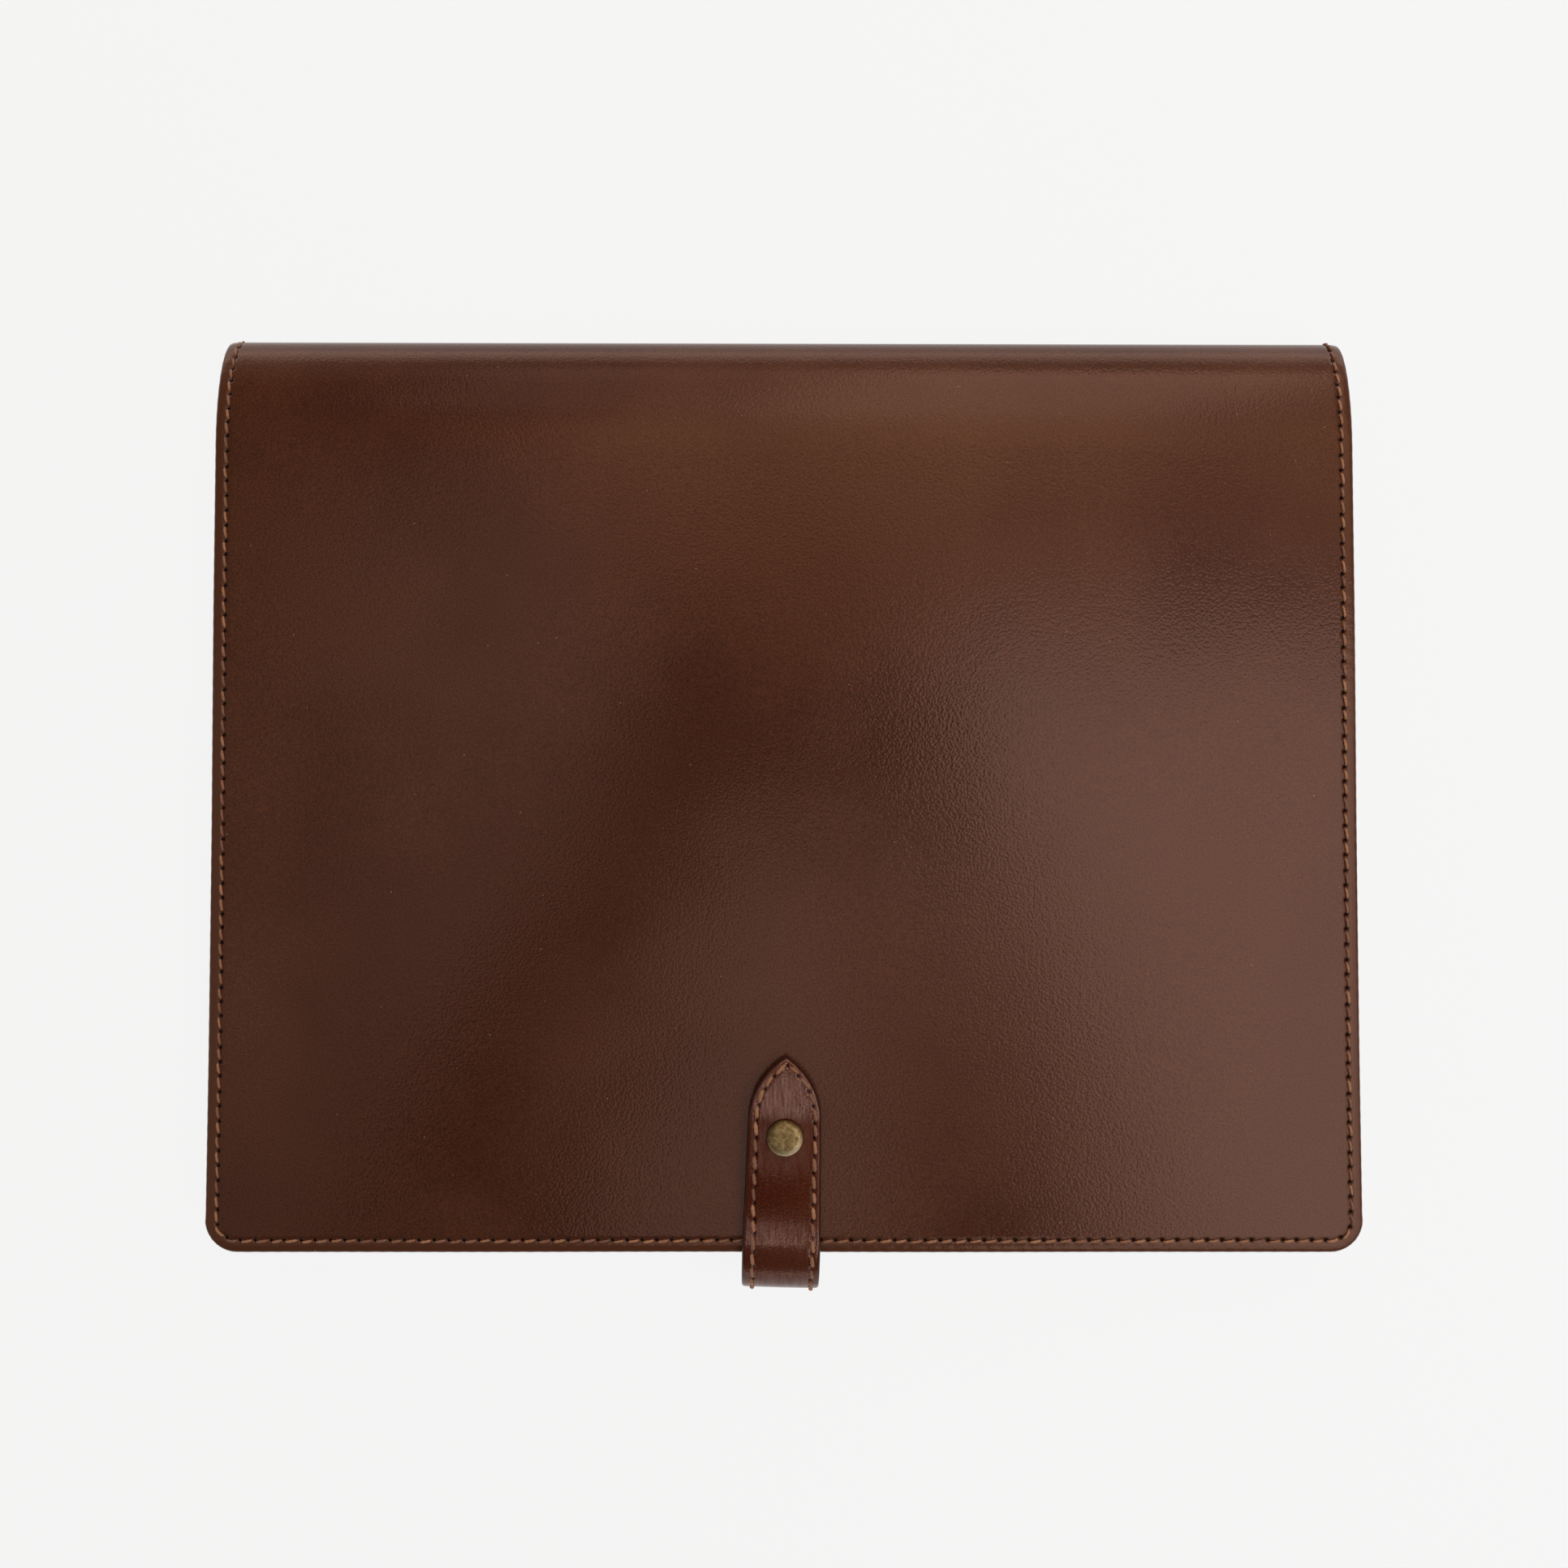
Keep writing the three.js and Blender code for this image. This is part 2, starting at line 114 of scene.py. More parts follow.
STRAP_LEATHER = 3.0
STRAP_WIDTH = 23.5
STRAP_NECK_WIDTH = 21.9
STRAP_OFF_SNAP = -0.2
STRAP_CROWN = 0.1
STRAP_SEAM_SHIFT = 0.35
STRAP_POINT_LENGTH = 19
STRAP_POINT_BLUNT = 0.7
STRAP_REACH = 60
STRAP_FACE_HEIGHT = 32
STRAP_POINT_DROP = 1.4
STRAP_POINT_CURL = 5
STRAP_SAG = 1.3
STRAP_SAG_START = 29
STRAP_SAG_END = 9
STRAP_BEND_START = 4
STRAP_ROOT = 6.6
STRAP_LEAN = math.radians(-1.5)
STRAP_NOTCH_PLAY = 3.6
NOTCH_HALF = (STRAP_WIDTH + STRAP_NOTCH_PLAY) / 2
LOOP_REACH = 13
LOOP_HEIGHT = 17
# Where a mark starts and where it is full: burnish by the distance from the edge, worn-off wax by y
STRAP_BURNISH = (1.0, 0.3)
WORN_BY_LOOP = (4, 13)
WORN_BY_SNAP = (44.5, 39.5)
WORN_LOOP_END = (-4, -7)
WORN_AT_SNAP, WORN_AT_LOOP_END = 0.85, 0.75
DIMPLE_DEPTH = 0.12
DIMPLE_RADIUS = 6.2
DIMPLE_WIDTH = 1.8
SNAP_X = 0.25
SNAP_Y = 36.1
CAP_RADIUS = 5.5
CAP_DOME = 1.5
CAP_SHOULDER = 0.4
CAP_RIM = 0.5
CAP_LIP_IN, CAP_LIP_UP = 0.1, 0.12
CAP_SIDES = 96
DOME_POINTS = 20
POST_RADIUS = 2.6
SOCKET_RADIUS = 4.5
SOCKET_BORE = 1.9
SOCKET_DEPTH = 2.3
PLATE = 0.5
# A highlight is painted bright on one side of the cap's rim, and painted shade dark on the other side: the
# share of each, and where it starts and is full, in cap radii out from the middle and along the way to the
# highlight
HIGHLIGHT_X, HIGHLIGHT_Y = 0.45, -0.9
PAINTED_HIGHLIGHT, HIGHLIGHT_OUT, HIGHLIGHT_WAY = 0.9, (0.55, 0.9), (0.2, 0.95)
PAINTED_SHADE, SHADE_OUT, SHADE_WAY = 0.85, (0.72, 0.97), (0.2, -0.6)

# Sewing: slanted needle holes in a shallow groove, with a two-ply thread in each gap between holes


@dataclass
class Seam:
    """A row of stitches: its spacing, its distance from the edge, the depth of its groove, the thread's
    radius, half a needle hole's length and width, and the part of each gap that the thread shows in."""

    pitch: float
    inset: float
    groove: float
    thread: float
    hole_length: float
    hole_width: float
    shows_from: float
    shows_to: float


COVER_SEAM = Seam(
    pitch=4.5, inset=3.9, groove=0.14, thread=0.4,
    hole_length=1.1, hole_width=0.8, shows_from=0.2, shows_to=0.94,
)
STRAP_SEAM = Seam(
    pitch=4.95, inset=2.3, groove=0.06, thread=0.6,
    hole_length=0.85, hole_width=0.62, shows_from=0.13, shows_to=0.95,
)
GROOVE_WIDTH = 0.6
# Leather swells between the stitches and the edge: its place and width as shares of the seam's inset, and
# its height as a share of the groove's depth, less at the holes and more between them
SWELL_PLACE, SWELL_WIDTH, SWELL = 0.5, 0.22, 0.6
PUCKER_MEAN, PUCKER_WAVE = 0.6, 0.4
# The leather's fall from the stitches to its edge, and where its paler colour starts and is full, counted
# inwards from the row of stitches
RIM_FALL = 0.38
RIM_STARTS, RIM_IS_FULL = 1.3, -0.3
EDGE_PULL = 0.05
EDGE_PULL_REACH = 2
EDGE_ROUND = 0.3
BURNISH_WIDTH = 0.6
HOLE_DEPTH = 1.0
# The share of the way into a needle hole at which its wall reaches full depth, and at which its painted
# shade is full
HOLE_WALL, HOLE_SHADE = 0.8, 0.4
HOLE_SLANT = math.radians(35)
HOLE_PLAY = 0.04
THREAD_RINGS = 14
THREAD_SIDES = 8
THREAD_LAY = 2.6
THREAD_NEAR, THREAD_DRIFT, DRIFT_PLAY = 0.05, 0.55, 0.12
# Height over the leather, in thread radii, and size, by the part of the way from hole to hole
THREAD_LIFT = [(0, -1.1), (0.2, 0.25), (0.5, 0.42), (0.8, 0.28), (1, -0.9)]
THREAD_SIZE = [(0, 0.7), (0.12, 1), (0.88, 1), (1, 0.75)]
LIFT_PLAY, SIZE_PLAY = 0.05, 0.07
PLY_SWELL = 0.13
THREAD_FLATNESS = 0.85
THREAD_OFF_FLOOR = 0.02

# Picture: the camera hangs straight above, and its focal length is in pixels of the square frame

IMAGE_SIDE = 1932
FOCAL_PIXELS = 1921.7
SENSOR = 36
CAMERA_HEIGHT = 498
CAMERA_Y = 141.7

# How finely lines are drawn: steps in millimetres, and numbers of points

COURSE_STEP = 0.1
EDGE_STEP = 0.25
EVENED_STEPS = 12
ELLIPSE_POINTS = 400
CORNER_POINTS, SIDE_POINTS = 60, 1200
BEND_POINTS = 6
ROUND_POINTS = 5
GUSSET_SIDE_POINTS, GUSSET_CORNER_POINTS, GUSSET_FOOT_POINTS = 60, 24, 40
STRAP_POINTS = 300
STRAP_SEAM_ARC_POINTS, STRAP_SEAM_SIDE_POINTS = 200, 600

chance = np.random.default_rng(11)


# Curves


@dataclass
class Course:
    """Leather seen from the side: places along its outer face as it bends, and the way the face looks."""

    run: np.ndarray
    y: np.ndarray
    z: np.ndarray
    out_y: np.ndarray
    out_z: np.ndarray

    @property
    def length(self):
        return self.run[-1]

    def at(self, run):
        return [np.interp(run, self.run, column) for column in (self.y, self.z, self.out_y, self.out_z)]


@dataclass
class Edge:
    """The cut edge of flat leather: places along it, by the run of its stitches, and the way inwards."""

    run: np.ndarray
    x: np.ndarray
    s: np.ndarray
    in_x: np.ndarray
    in_s: np.ndarray
    closed: bool

    @property
    def length(self):
        return self.run[-1]

    def at(self, run, inset):
        """The flat place that lies inset from the edge."""
        run = np.mod(run, self.length) if self.closed else run
        columns = (self.x, self.s, self.in_x, self.in_s)
        x, s, in_x, in_s = [np.interp(run, self.run, column) for column in columns]
        return x + in_x * inset, s + in_s * inset


def travelled(a, b):
    """How far along a line each of its points is."""
    return np.concatenate([[0], np.cumsum(np.hypot(np.diff(a), np.diff(b)))])


def spaced(a, b, step):
    """The same line with its points step apart."""
    run = travelled(a, b)
    even = np.linspace(0, run[-1], int(run[-1] / step) + 1)
    return np.interp(even, run, a), np.interp(even, run, b)


def quarter_ellipse(centre_y, centre_z, run, rise, start, end):
    angle = np.radians(np.linspace(start, end, ELLIPSE_POINTS))
    return centre_y + run * np.cos(angle), centre_z + rise * np.sin(angle)


def course_through(*stretches):
    """The course along stretches of (y, z) points that follow each other."""
    y, z = spaced(*[np.concatenate(column) for column in zip(*stretches)], COURSE_STEP)
    run = travelled(y, z)
    slope_y, slope_z = np.gradient(y, run), np.gradient(z, run)
    size = np.hypot(slope_y, slope_z)
    return Course(run, y, z, slope_z / size, -slope_y / size)


def edge_round(x, s, stitch_inset):
    """The edge along a closed anticlockwise line. The way inwards is evened out over a few millimetres,
    so that lines inset from the edge don't cross themselves where it has a slight corner."""
    x, s = spaced(x, s, EDGE_STEP)
    reach = EVENED_STEPS
    evened = np.ones(2 * reach + 1) / (2 * reach + 1)
    way_x, way_s = [np.gradient(np.concatenate([c[-2:-1], c, c[1:2]]))[1:-1] for c in (x, s)]
    way_x, way_s = [
        np.convolve(np.concatenate([c[-1 - reach : -1], c, c[1 : 1 + reach]]), evened, "valid")
        for c in (way_x, way_s)
    ]
    size = np.hypot(way_x, way_s)
    in_x, in_s = -way_s / size, way_x / size
    run = travelled(x + in_x * stitch_inset, s + in_s * stitch_inset)
    return Edge(run, x, s, in_x, in_s, True)


def rows_along(course, spacing, degrees):
    """Runs that lie about spacing apart where the leather is straight, and degrees apart in its bends."""
    facing = np.unwrap(np.arctan2(course.out_z, course.out_y))
    turned = np.cumsum(np.abs(np.diff(facing, prepend=facing[0])))
    measure = course.run / spacing + turned / math.radians(degrees)
    return np.interp(np.arange(0, measure[-1]), measure, course.run)


def rounded_outline(half_width, length, radius):
    """The closed cut edge of a piece that runs from 0 to length, anticlockwise, with rounded corners."""
    turn = np.radians(np.linspace(0, 90, CORNER_POINTS))
    side = np.linspace(radius, length - radius, SIDE_POINTS)
    first_x, last_x = half_width(0) - radius, half_width(length) - radius
    x = np.concatenate([first_x + radius * np.sin(turn), half_width(side), last_x + radius * np.cos(turn)])
    s = np.concatenate([radius * (1 - np.cos(turn)), side, length - radius * (1 - np.sin(turn))])
    return np.concatenate([x, -x[::-1], x[:1]]), np.concatenate([s, s[::-1], s[:1]])


def rounded(corners):
    """A closed line round corners of (u, v, radius), each turned in an arc of its radius."""
    line = []
    for i, (u, v, radius) in enumerate(corners):
        here = np.array([u, v])
        back, ahead = [np.array(corners[j % len(corners)][:2]) - here for j in (i - 1, i + 1)]
        back, ahead = back / np.linalg.norm(back), ahead / np.linalg.norm(ahead)
        half_angle = math.acos(np.clip(back @ ahead, -1, 1)) / 2
        middle = (back + ahead) / np.linalg.norm(back + ahead)
        centre = here + middle * radius / math.sin(half_angle)
        start = here + back * radius / math.tan(half_angle) - centre
        end = here + ahead * radius / math.tan(half_angle) - centre
        for part in np.linspace(0, 1, BEND_POINTS):
            arm = start * (1 - part) + end * part
            line.append(centre + arm / np.linalg.norm(arm) * radius)
    return np.array(line)


def smooth_step(low, high, value):
    part = np.clip((value - low) / (high - low), 0, 1)
    return part * part * (3 - 2 * part)


# Meshes


def put_in_scene(name, data):
    """An object of that name that shows a mesh, a lamp or a camera."""
    thing = bpy.data.objects.new(name, data)
    bpy.context.scene.collection.objects.link(thing)
    return thing


def make_piece(name, points, faces, materials, face_material=None, marks=None):
    """A smooth mesh from points in millimetres, which rides on the case. Marks are numbers that its
    materials read."""
    points = np.asarray(points, float).reshape(-1, 3) + [0, LOWER_EDGE, 0]
    points[:, 2] = np.maximum(points[:, 2], 0)
    if not np.isfinite(points).all():
        raise ValueError(name + " has points without a place")
    points = points * MM
    mesh = bpy.data.meshes.new(name)
    mesh.from_pydata(points.tolist(), [], [list(map(int, face)) for face in faces])
    for material in materials:
        mesh.materials.append(material)
    if face_material is not None:
        mesh.polygons.foreach_set("material_index", np.asarray(face_material, dtype=np.int32))
    mesh.polygons.foreach_set("use_smooth", np.ones(len(mesh.polygons), dtype=bool))
    for mark, values in (marks or {}).items():
        layer = mesh.attributes.new(mark, "FLOAT", "POINT")
        layer.data.foreach_set("value", np.asarray(values, dtype=np.float32).ravel())
    mesh.update()
    piece = put_in_scene(name, mesh)
    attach(piece, "root")
    return piece


def net(rows, columns, rows_close=False, columns_close=False):
    """The quads of a net of points, row by row, facing (row, column+1) x (row+1, column)."""
    row, column = np.meshgrid(
        np.arange(rows if rows_close else rows - 1),
        np.arange(columns if columns_close else columns - 1),
        indexing="ij",
    )
    next_row, next_column = (row + 1) % rows, (column + 1) % columns
    quads = [
        row * columns + column,
        row * columns + next_column,
        next_row * columns + next_column,
        next_row * columns + column,
    ]
    return np.stack(quads, -1).reshape(-1, 4)


def tube(rings, sides):
    """The faces of a tube round rings of points that follow each other, with both its ends closed."""
    ring = np.arange(sides)
    return [*net(rings, sides, columns_close=True), ring[::-1], ring + (rings - 1) * sides]


def fill(edge_x, edge_s, inside_x, inside_s):
    """Anticlockwise triangles inside a closed edge, through more points that lie inside it."""
    flat = list(zip(np.concatenate([edge_x, inside_x]), np.concatenate([edge_s, inside_s])))
    border, inside_only, tolerance = list(range(len(edge_x))), 1, 1e-6
    filled = delaunay_2d_cdt([Vector(p) for p in flat], [], [border], inside_only, tolerance)
    places, _, triangles, *_ = filled
    if len(places) != len(flat):
        raise ValueError("the filled edge crosses itself")
    return np.array(triangles)


# Sewing


def uneven(holes, pitch):
    """Needle holes a little off their even places, as a hand-guided seam has them."""
    return holes + chance.normal(0, HOLE_PLAY * pitch, len(holes))


def seam_relief(off_line, to_hole, seam):
    """How deep sewn leather lies under its plain face, and the painted shade that darkens its needle holes:
    off_line counts inwards from the row of stitches, and to_hole along it from the nearest needle hole."""
    groove = np.exp(-((off_line / GROOVE_WIDTH) ** 2))
    swell = np.exp(-(((off_line + seam.inset * SWELL_PLACE) / (seam.inset * SWELL_WIDTH)) ** 2))
    pucker = PUCKER_MEAN - PUCKER_WAVE * np.cos(2 * math.pi * to_hole / seam.pitch)
    along = to_hole * math.cos(HOLE_SLANT) + off_line * math.sin(HOLE_SLANT)
    across = off_line * math.cos(HOLE_SLANT) - to_hole * math.sin(HOLE_SLANT)
    lozenge = np.clip(1 - np.abs(along) / seam.hole_length - np.abs(across) / seam.hole_width, 0, 1)
    hole = HOLE_DEPTH * smooth_step(0, HOLE_WALL, lozenge)
    depth = seam.groove * (groove - SWELL * swell * pucker) + hole
    return depth, smooth_step(0, HOLE_SHADE, lozenge)


def sew(name, edge, holes, seam, place, material):
    """One thread for each gap between holes: it comes up at a hole, drifts to the edge and goes down."""
    starts = holes if edge.closed else holes[:-1]
    gaps = np.diff(holes, append=holes[0] + edge.length) if edge.closed else np.diff(holes)
    part = np.linspace(0, 1, THREAD_RINGS)
    shown = seam.shows_from + (seam.shows_to - seam.shows_from) * part
    run = starts[:, None] + gaps[:, None] * shown
    count = len(starts)
    drift = THREAD_NEAR + THREAD_DRIFT * (part + chance.normal(0, DRIFT_PLAY, (count, 1)))
    lift = seam.thread * np.interp(part, *zip(*THREAD_LIFT))
    lift = lift + chance.normal(0, LIFT_PLAY, (count, 1))
    x, s = edge.at(run, seam.inset - drift)
    middle = place(x, s, lift)
    up = place(x, s, lift + 1) - middle
    up /= np.linalg.norm(up, axis=-1, keepdims=True)
    ahead = np.gradient(middle, axis=1)
    ahead /= np.linalg.norm(ahead, axis=-1, keepdims=True)
    side = np.cross(ahead, up)
    angle = -np.arange(THREAD_SIDES) * 2 * math.pi / THREAD_SIDES
    twist = 2 * math.pi * run[..., None] / THREAD_LAY
    radius = seam.thread * (1 + PLY_SWELL * np.cos(2 * angle - 2 * twist))
    radius = radius * np.interp(part, *zip(*THREAD_SIZE))[None, :, None]
    radius = radius * chance.normal(1, SIZE_PLAY, (count, 1, 1))
    sideways = np.cos(angle)[:, None] * side[:, :, None]
    upwards = THREAD_FLATNESS * np.sin(angle)[:, None] * up[:, :, None]
    points = middle[:, :, None] + radius[..., None] * (sideways + upwards)
    points[..., 2] = np.maximum(points[..., 2], THREAD_OFF_FLOOR)
    stitch = tube(THREAD_RINGS, THREAD_SIDES)
    size = THREAD_RINGS * THREAD_SIDES
    faces = [face + first for first in range(0, count * size, size) for face in stitch]
    wear = np.repeat(chance.random(count), size)
    make_piece(name, points, faces, [material], marks={"wear": wear})


# Leather sheets

# Columns of points across the row of stitches, and rows of points from one needle hole to the next
OFF_SEAM = np.array([-2.7, -2.1, -1.55, -1.15, -0.8, -0.5, -0.25, 0, 0.25, 0.5, 0.8, 1.2, 1.75, 2.5])
FACE_COLUMNS = COVER_SEAM.inset + OFF_SEAM
FACE_MARGIN = 2.5
STITCH_ROWS = np.array([0, 0.06, 0.13, 0.24, 0.5, 0.76, 0.87, 0.94])


def edge_columns(thickness):
    """Columns across a sheet's edge, as distances from it and depths under the outer face: from its
    inner face round the burnished edge and over its row of stitches."""
    radius = EDGE_ROUND * thickness
    turn = np.radians(np.linspace(0, 90, ROUND_POINTS))
    inner = np.stack([radius * (1 - np.sin(turn)), thickness - radius * (1 - np.cos(turn))], -1)
    outer = np.stack([inner[::-1, 0], thickness - inner[::-1, 1]], -1)
    face = np.stack([FACE_COLUMNS, np.zeros(len(FACE_COLUMNS))], -1)
    return np.concatenate([inner, outer, face])


def sewn_sheet(name, half_width, length, radius, place, thickness, spacing, lines, materials):
    """A sheet of leather, sewn round its edge: a fine strip along the seam, two faces that fill it, and
    the thread. Spacing is across the faces, and lines are the runs at which they have rows of points."""
    seam = COVER_SEAM
    edge = edge_round(*rounded_outline(half_width, length, radius), seam.inset)
    stitches = round(edge.length / seam.pitch)
    holes = uneven(np.arange(stitches) * edge.length / stitches, seam.pitch)
    gaps = np.diff(holes, append=holes[0] + edge.length)
    run = (holes[:, None] + gaps[:, None] * STITCH_ROWS).ravel()
    nearest = np.where(STITCH_ROWS <= 0.5, STITCH_ROWS, STITCH_ROWS - 1)
    to_hole = (gaps[:, None] * nearest).reshape(-1, 1)
    off_edge, under = edge_columns(thickness).T
    by_hole = 0.5 + 0.5 * np.cos(2 * math.pi * to_hole / seam.pitch)
    pull = EDGE_PULL * by_hole * np.exp(-off_edge / EDGE_PULL_REACH)
    x, s = edge.at(run[:, None], off_edge + pull)
    relief, dark = seam_relief(off_edge - seam.inset, to_hole, seam)
    sewn = (under == 0) & (off_edge >= FACE_COLUMNS[0])
    outside_seam = np.clip(1 - off_edge / seam.inset, 0, 1)
    fall = np.where(under < thickness / 2, RIM_FALL * outside_seam**2, 0)
    rows, count = x.shape
    points = [place(x, s, -(under + fall + np.where(sewn, relief, 0))).reshape(-1, 3)]
    faces = [*net(rows, count, rows_close=True)]
    face_material = [0] * len(faces)

    margin = FACE_COLUMNS[-1] + FACE_MARGIN
    across = np.arange(spacing / 2, half_width(length), spacing)
    grid = np.meshgrid(np.concatenate([-across[::-1], across]), lines)
    grid_x, grid_s = [g.ravel() for g in grid]
    inside = np.abs(grid_x) < half_width(grid_s) - margin
    inside &= (grid_s > margin) & (grid_s < length - margin)
    grid_x, grid_s = grid_x[inside], grid_s[inside]
    for column, depth, facing in ((count - 1, 0, -1), (0, thickness, 1)):
        triangles = fill(x[:, column], s[:, column], grid_x, grid_s)
        first = sum(map(len, points))
        number = np.concatenate([np.arange(rows) * count + column, first + np.arange(len(grid_x))])
        faces += [*number[triangles][:, ::facing]]
        face_material += [int(depth > 0)] * len(triangles)
        points.append(place(grid_x, grid_s, np.full(len(grid_x), -float(depth))))
    plain = np.zeros(2 * len(grid_x))
    burnish = np.broadcast_to(np.clip(1 - off_edge / BURNISH_WIDTH, 0, 1), x.shape)
    rim = np.broadcast_to(smooth_step(RIM_STARTS, RIM_IS_FULL, off_edge - seam.inset), x.shape)
    # Painted shade darkens the needle holes.
    marks = {
        "rim": np.concatenate([rim.ravel(), plain]),
        "painted_pit_shade": np.concatenate([np.where(sewn, dark, 0).ravel(), plain]),
        "burnish": np.concatenate([burnish.ravel(), plain]),
    }
    sew(name + "_stitches", edge, holes, seam, place, THREAD)
    return make_piece(name, np.concatenate(points), faces, materials, face_material, marks)


# Materials


def srgb(code):
    """Linear red, green, blue and alpha of an sRGB hex colour."""
    parts = [int(code[i : i + 2], 16) / 255 for i in (1, 3, 5)]
    return [p / 12.92 if p <= 0.04045 else ((p + 0.055) / 1.055) ** 2.4 for p in parts] + [1.0]


def per(size):
    """The scale of a pattern whose features are size millimetres across."""
    return 1 / (size * MM)


def add(tree, kind, settings=None, links=None):
    """A shader node of a kind, with its settings, which are properties or input values, and its links."""
    node = tree.nodes.new("ShaderNode" + kind)
    for name, value in (settings or {}).items():
        if isinstance(name, str) and hasattr(node, name):
            setattr(node, name, value)
        else:
            node.inputs[name].default_value = value
    for name, socket in (links or {}).items():
        tree.links.new(socket, node.inputs[name])
    return node


def new_material(name):
    """An empty material and its node tree."""
    material = bpy.data.materials.new(name)
    material.use_nodes = True
    material.node_tree.nodes.clear()
    return material, material.node_tree


def tinted(tree, colour, tints):
    """The colour, mixed with each tint by the mark of that name on the piece."""
    for mark, tint in tints.items():
        share = add(tree, "Attribute", {"attribute_name": mark})
        mix = add(tree, "Mix", {"data_type": "RGBA", 7: srgb(tint)}, {0: share.outputs["Fac"], 6: colour})
        colour = mix.outputs[2]
    return colour


# Pattern sizes. Real fibres are some hundredths of a millimetre wide and a hide's pores 0.15 mm apart, too
# fine to show, so fibres, nap and the pebble grain are drawn several times coarser.
DYE_CLOUD = 85
FIBRE = 0.55
PEBBLE, PEBBLE_DEPTH = 0.8, 0.036
DUST_SPACING = 8
DUST_SIZE, DUST_CORE = 0.25, 0.4
CREASE_WIDTH, CREASE_LENGTH = 0.7, 5
WORN_GLOSS = 0.15
NAP, NAP_DEPTH = 1.5, 0.12
THREAD_FIBRE, THREAD_FUZZ = 0.25, 0.05
BRASS_BLOTCH, BRASS_DENT = 1.3, 0.06


# Vegetable-tanned leather, dyed through and finished by hand: brown with cloudy warm patches where the dye
# took unevenly, a fine pebble grain that only shows where light glances off it, a paler rim outside the
# stitches, painted shade that darkens the needle holes, and a few specks of dust. The wax on it sets the
# gloss.
# On a creased piece the gloss is broken by fine creases along y, and weak where the wax is worn off.
def vegetable_tanned_leather(name, deep, warm, edge, roughness, gloss, creased=False):
    material, tree = new_material(name)
    place = add(tree, "TexCoord").outputs["Object"]
    cloud = add(
        tree,
        "TexNoise",
        {"Scale": per(DYE_CLOUD), "Detail": 3, "Roughness": 0.5},
        {"Vector": place},
    )
    patch = add(
        tree,
        "MapRange",
        {"interpolation_type": "SMOOTHSTEP", "From Min": 0.36, "From Max": 0.64},
        {"Value": cloud.outputs["Fac"]},
    )
    dye = add(
        tree,
        "Mix",
        {"data_type": "RGBA", 6: srgb(deep), 7: srgb(warm)},
        {0: patch.outputs["Result"]},
    )
    fibre = add(tree, "TexNoise", {"Scale": per(FIBRE), "Detail": 3, "Roughness": 0.6}, {"Vector": place})
    shade = add(
        tree,
        "MapRange",
        {"From Min": 0.3, "From Max": 0.7, "To Min": 0.58, "To Max": 1.42},
        {"Value": fibre.outputs["Fac"]},
    )
    hide = add(
        tree,
        "Mix",
        {"data_type": "RGBA", "blend_type": "MULTIPLY", 0: 1.0},
        {6: dye.outputs[2], 7: shade.outputs["Result"]},
    )
    # The needle holes get painted shade: a near-black tint, strongest in their middle.
    colour = tinted(tree, hide.outputs[2], {"rim": "#583423", "burnish": edge, "painted_pit_shade": "#170805"})
    scatter = add(tree, "TexVoronoi", {"Scale": per(DUST_SPACING)}, {"Vector": place})
    speck = add(
        tree,
        "MapRange",
        {"From Min": DUST_SIZE / DUST_SPACING, "From Max": DUST_CORE * DUST_SIZE / DUST_SPACING},
        {"Value": scatter.outputs["Distance"]},
    )
    dusty = add(
        tree,
        "Mix",
        {"data_type": "RGBA", 7: srgb("#987e6e")},
        {0: speck.outputs["Result"], 6: colour},
    )
    wax = add(
        tree,
        "MapRange",
        {"From Min": 0.3, "From Max": 0.7, "To Min": roughness - 0.03, "To Max": roughness + 0.05},
        {"Value": cloud.outputs["Fac"]},
    )
    pebble = add(
        tree,
        "TexVoronoi",
        {"feature": "SMOOTH_F1", "Scale": per(PEBBLE), "Smoothness": 0.5},
        {"Vector": place},
    )
    grain = add(
        tree,
        "Bump",
        {"Strength": 1.0, "Distance": PEBBLE_DEPTH * MM, "invert": True},
        {"Height": pebble.outputs["Distance"]},
    )
    finish = {
        "Base Color": dusty.outputs[2],
        "Roughness": wax.outputs["Result"],
        "Normal": grain.outputs["Normal"],
    }
    if creased:
        worn = add(tree, "Attribute", {"attribute_name": "worn"})
        shine = add(
            tree,
            "MapRange",
            {"To Min": gloss, "To Max": WORN_GLOSS * gloss},
            {"Value": worn.outputs["Fac"]},
        )
        drawn_out = add(
            tree,
            "Mapping",
            {"Scale": (1, CREASE_WIDTH / CREASE_LENGTH, CREASE_WIDTH / CREASE_LENGTH)},
            {"Vector": place},
        )
        creases = add(
            tree,
            "TexNoise",
            {"Scale": per(CREASE_WIDTH), "Detail": 2, "Roughness": 0.5},
            {"Vector": drawn_out.outputs["Vector"]},
        )
        broken = add(
            tree,
            "MapRange",
            {"From Min": 0.3, "From Max": 0.7, "To Min": 0.55, "To Max": 1.45},
            {"Value": creases.outputs["Fac"]},
        )
        broken_shine = add(
            tree,
            "Math",
            {"operation": "MULTIPLY"},
            {0: shine.outputs["Result"], 1: broken.outputs["Result"]},
        )
        finish["Specular IOR Level"] = broken_shine.outputs[0]
    surface = add(
        tree,
        "BsdfPrincipled",
        {"IOR": 1.5, "Specular Tint": srgb("#ffcebc"), "Specular IOR Level": gloss},
        finish,
    )
    add(tree, "OutputMaterial", links={"Surface": surface.outputs[0]})
    return material


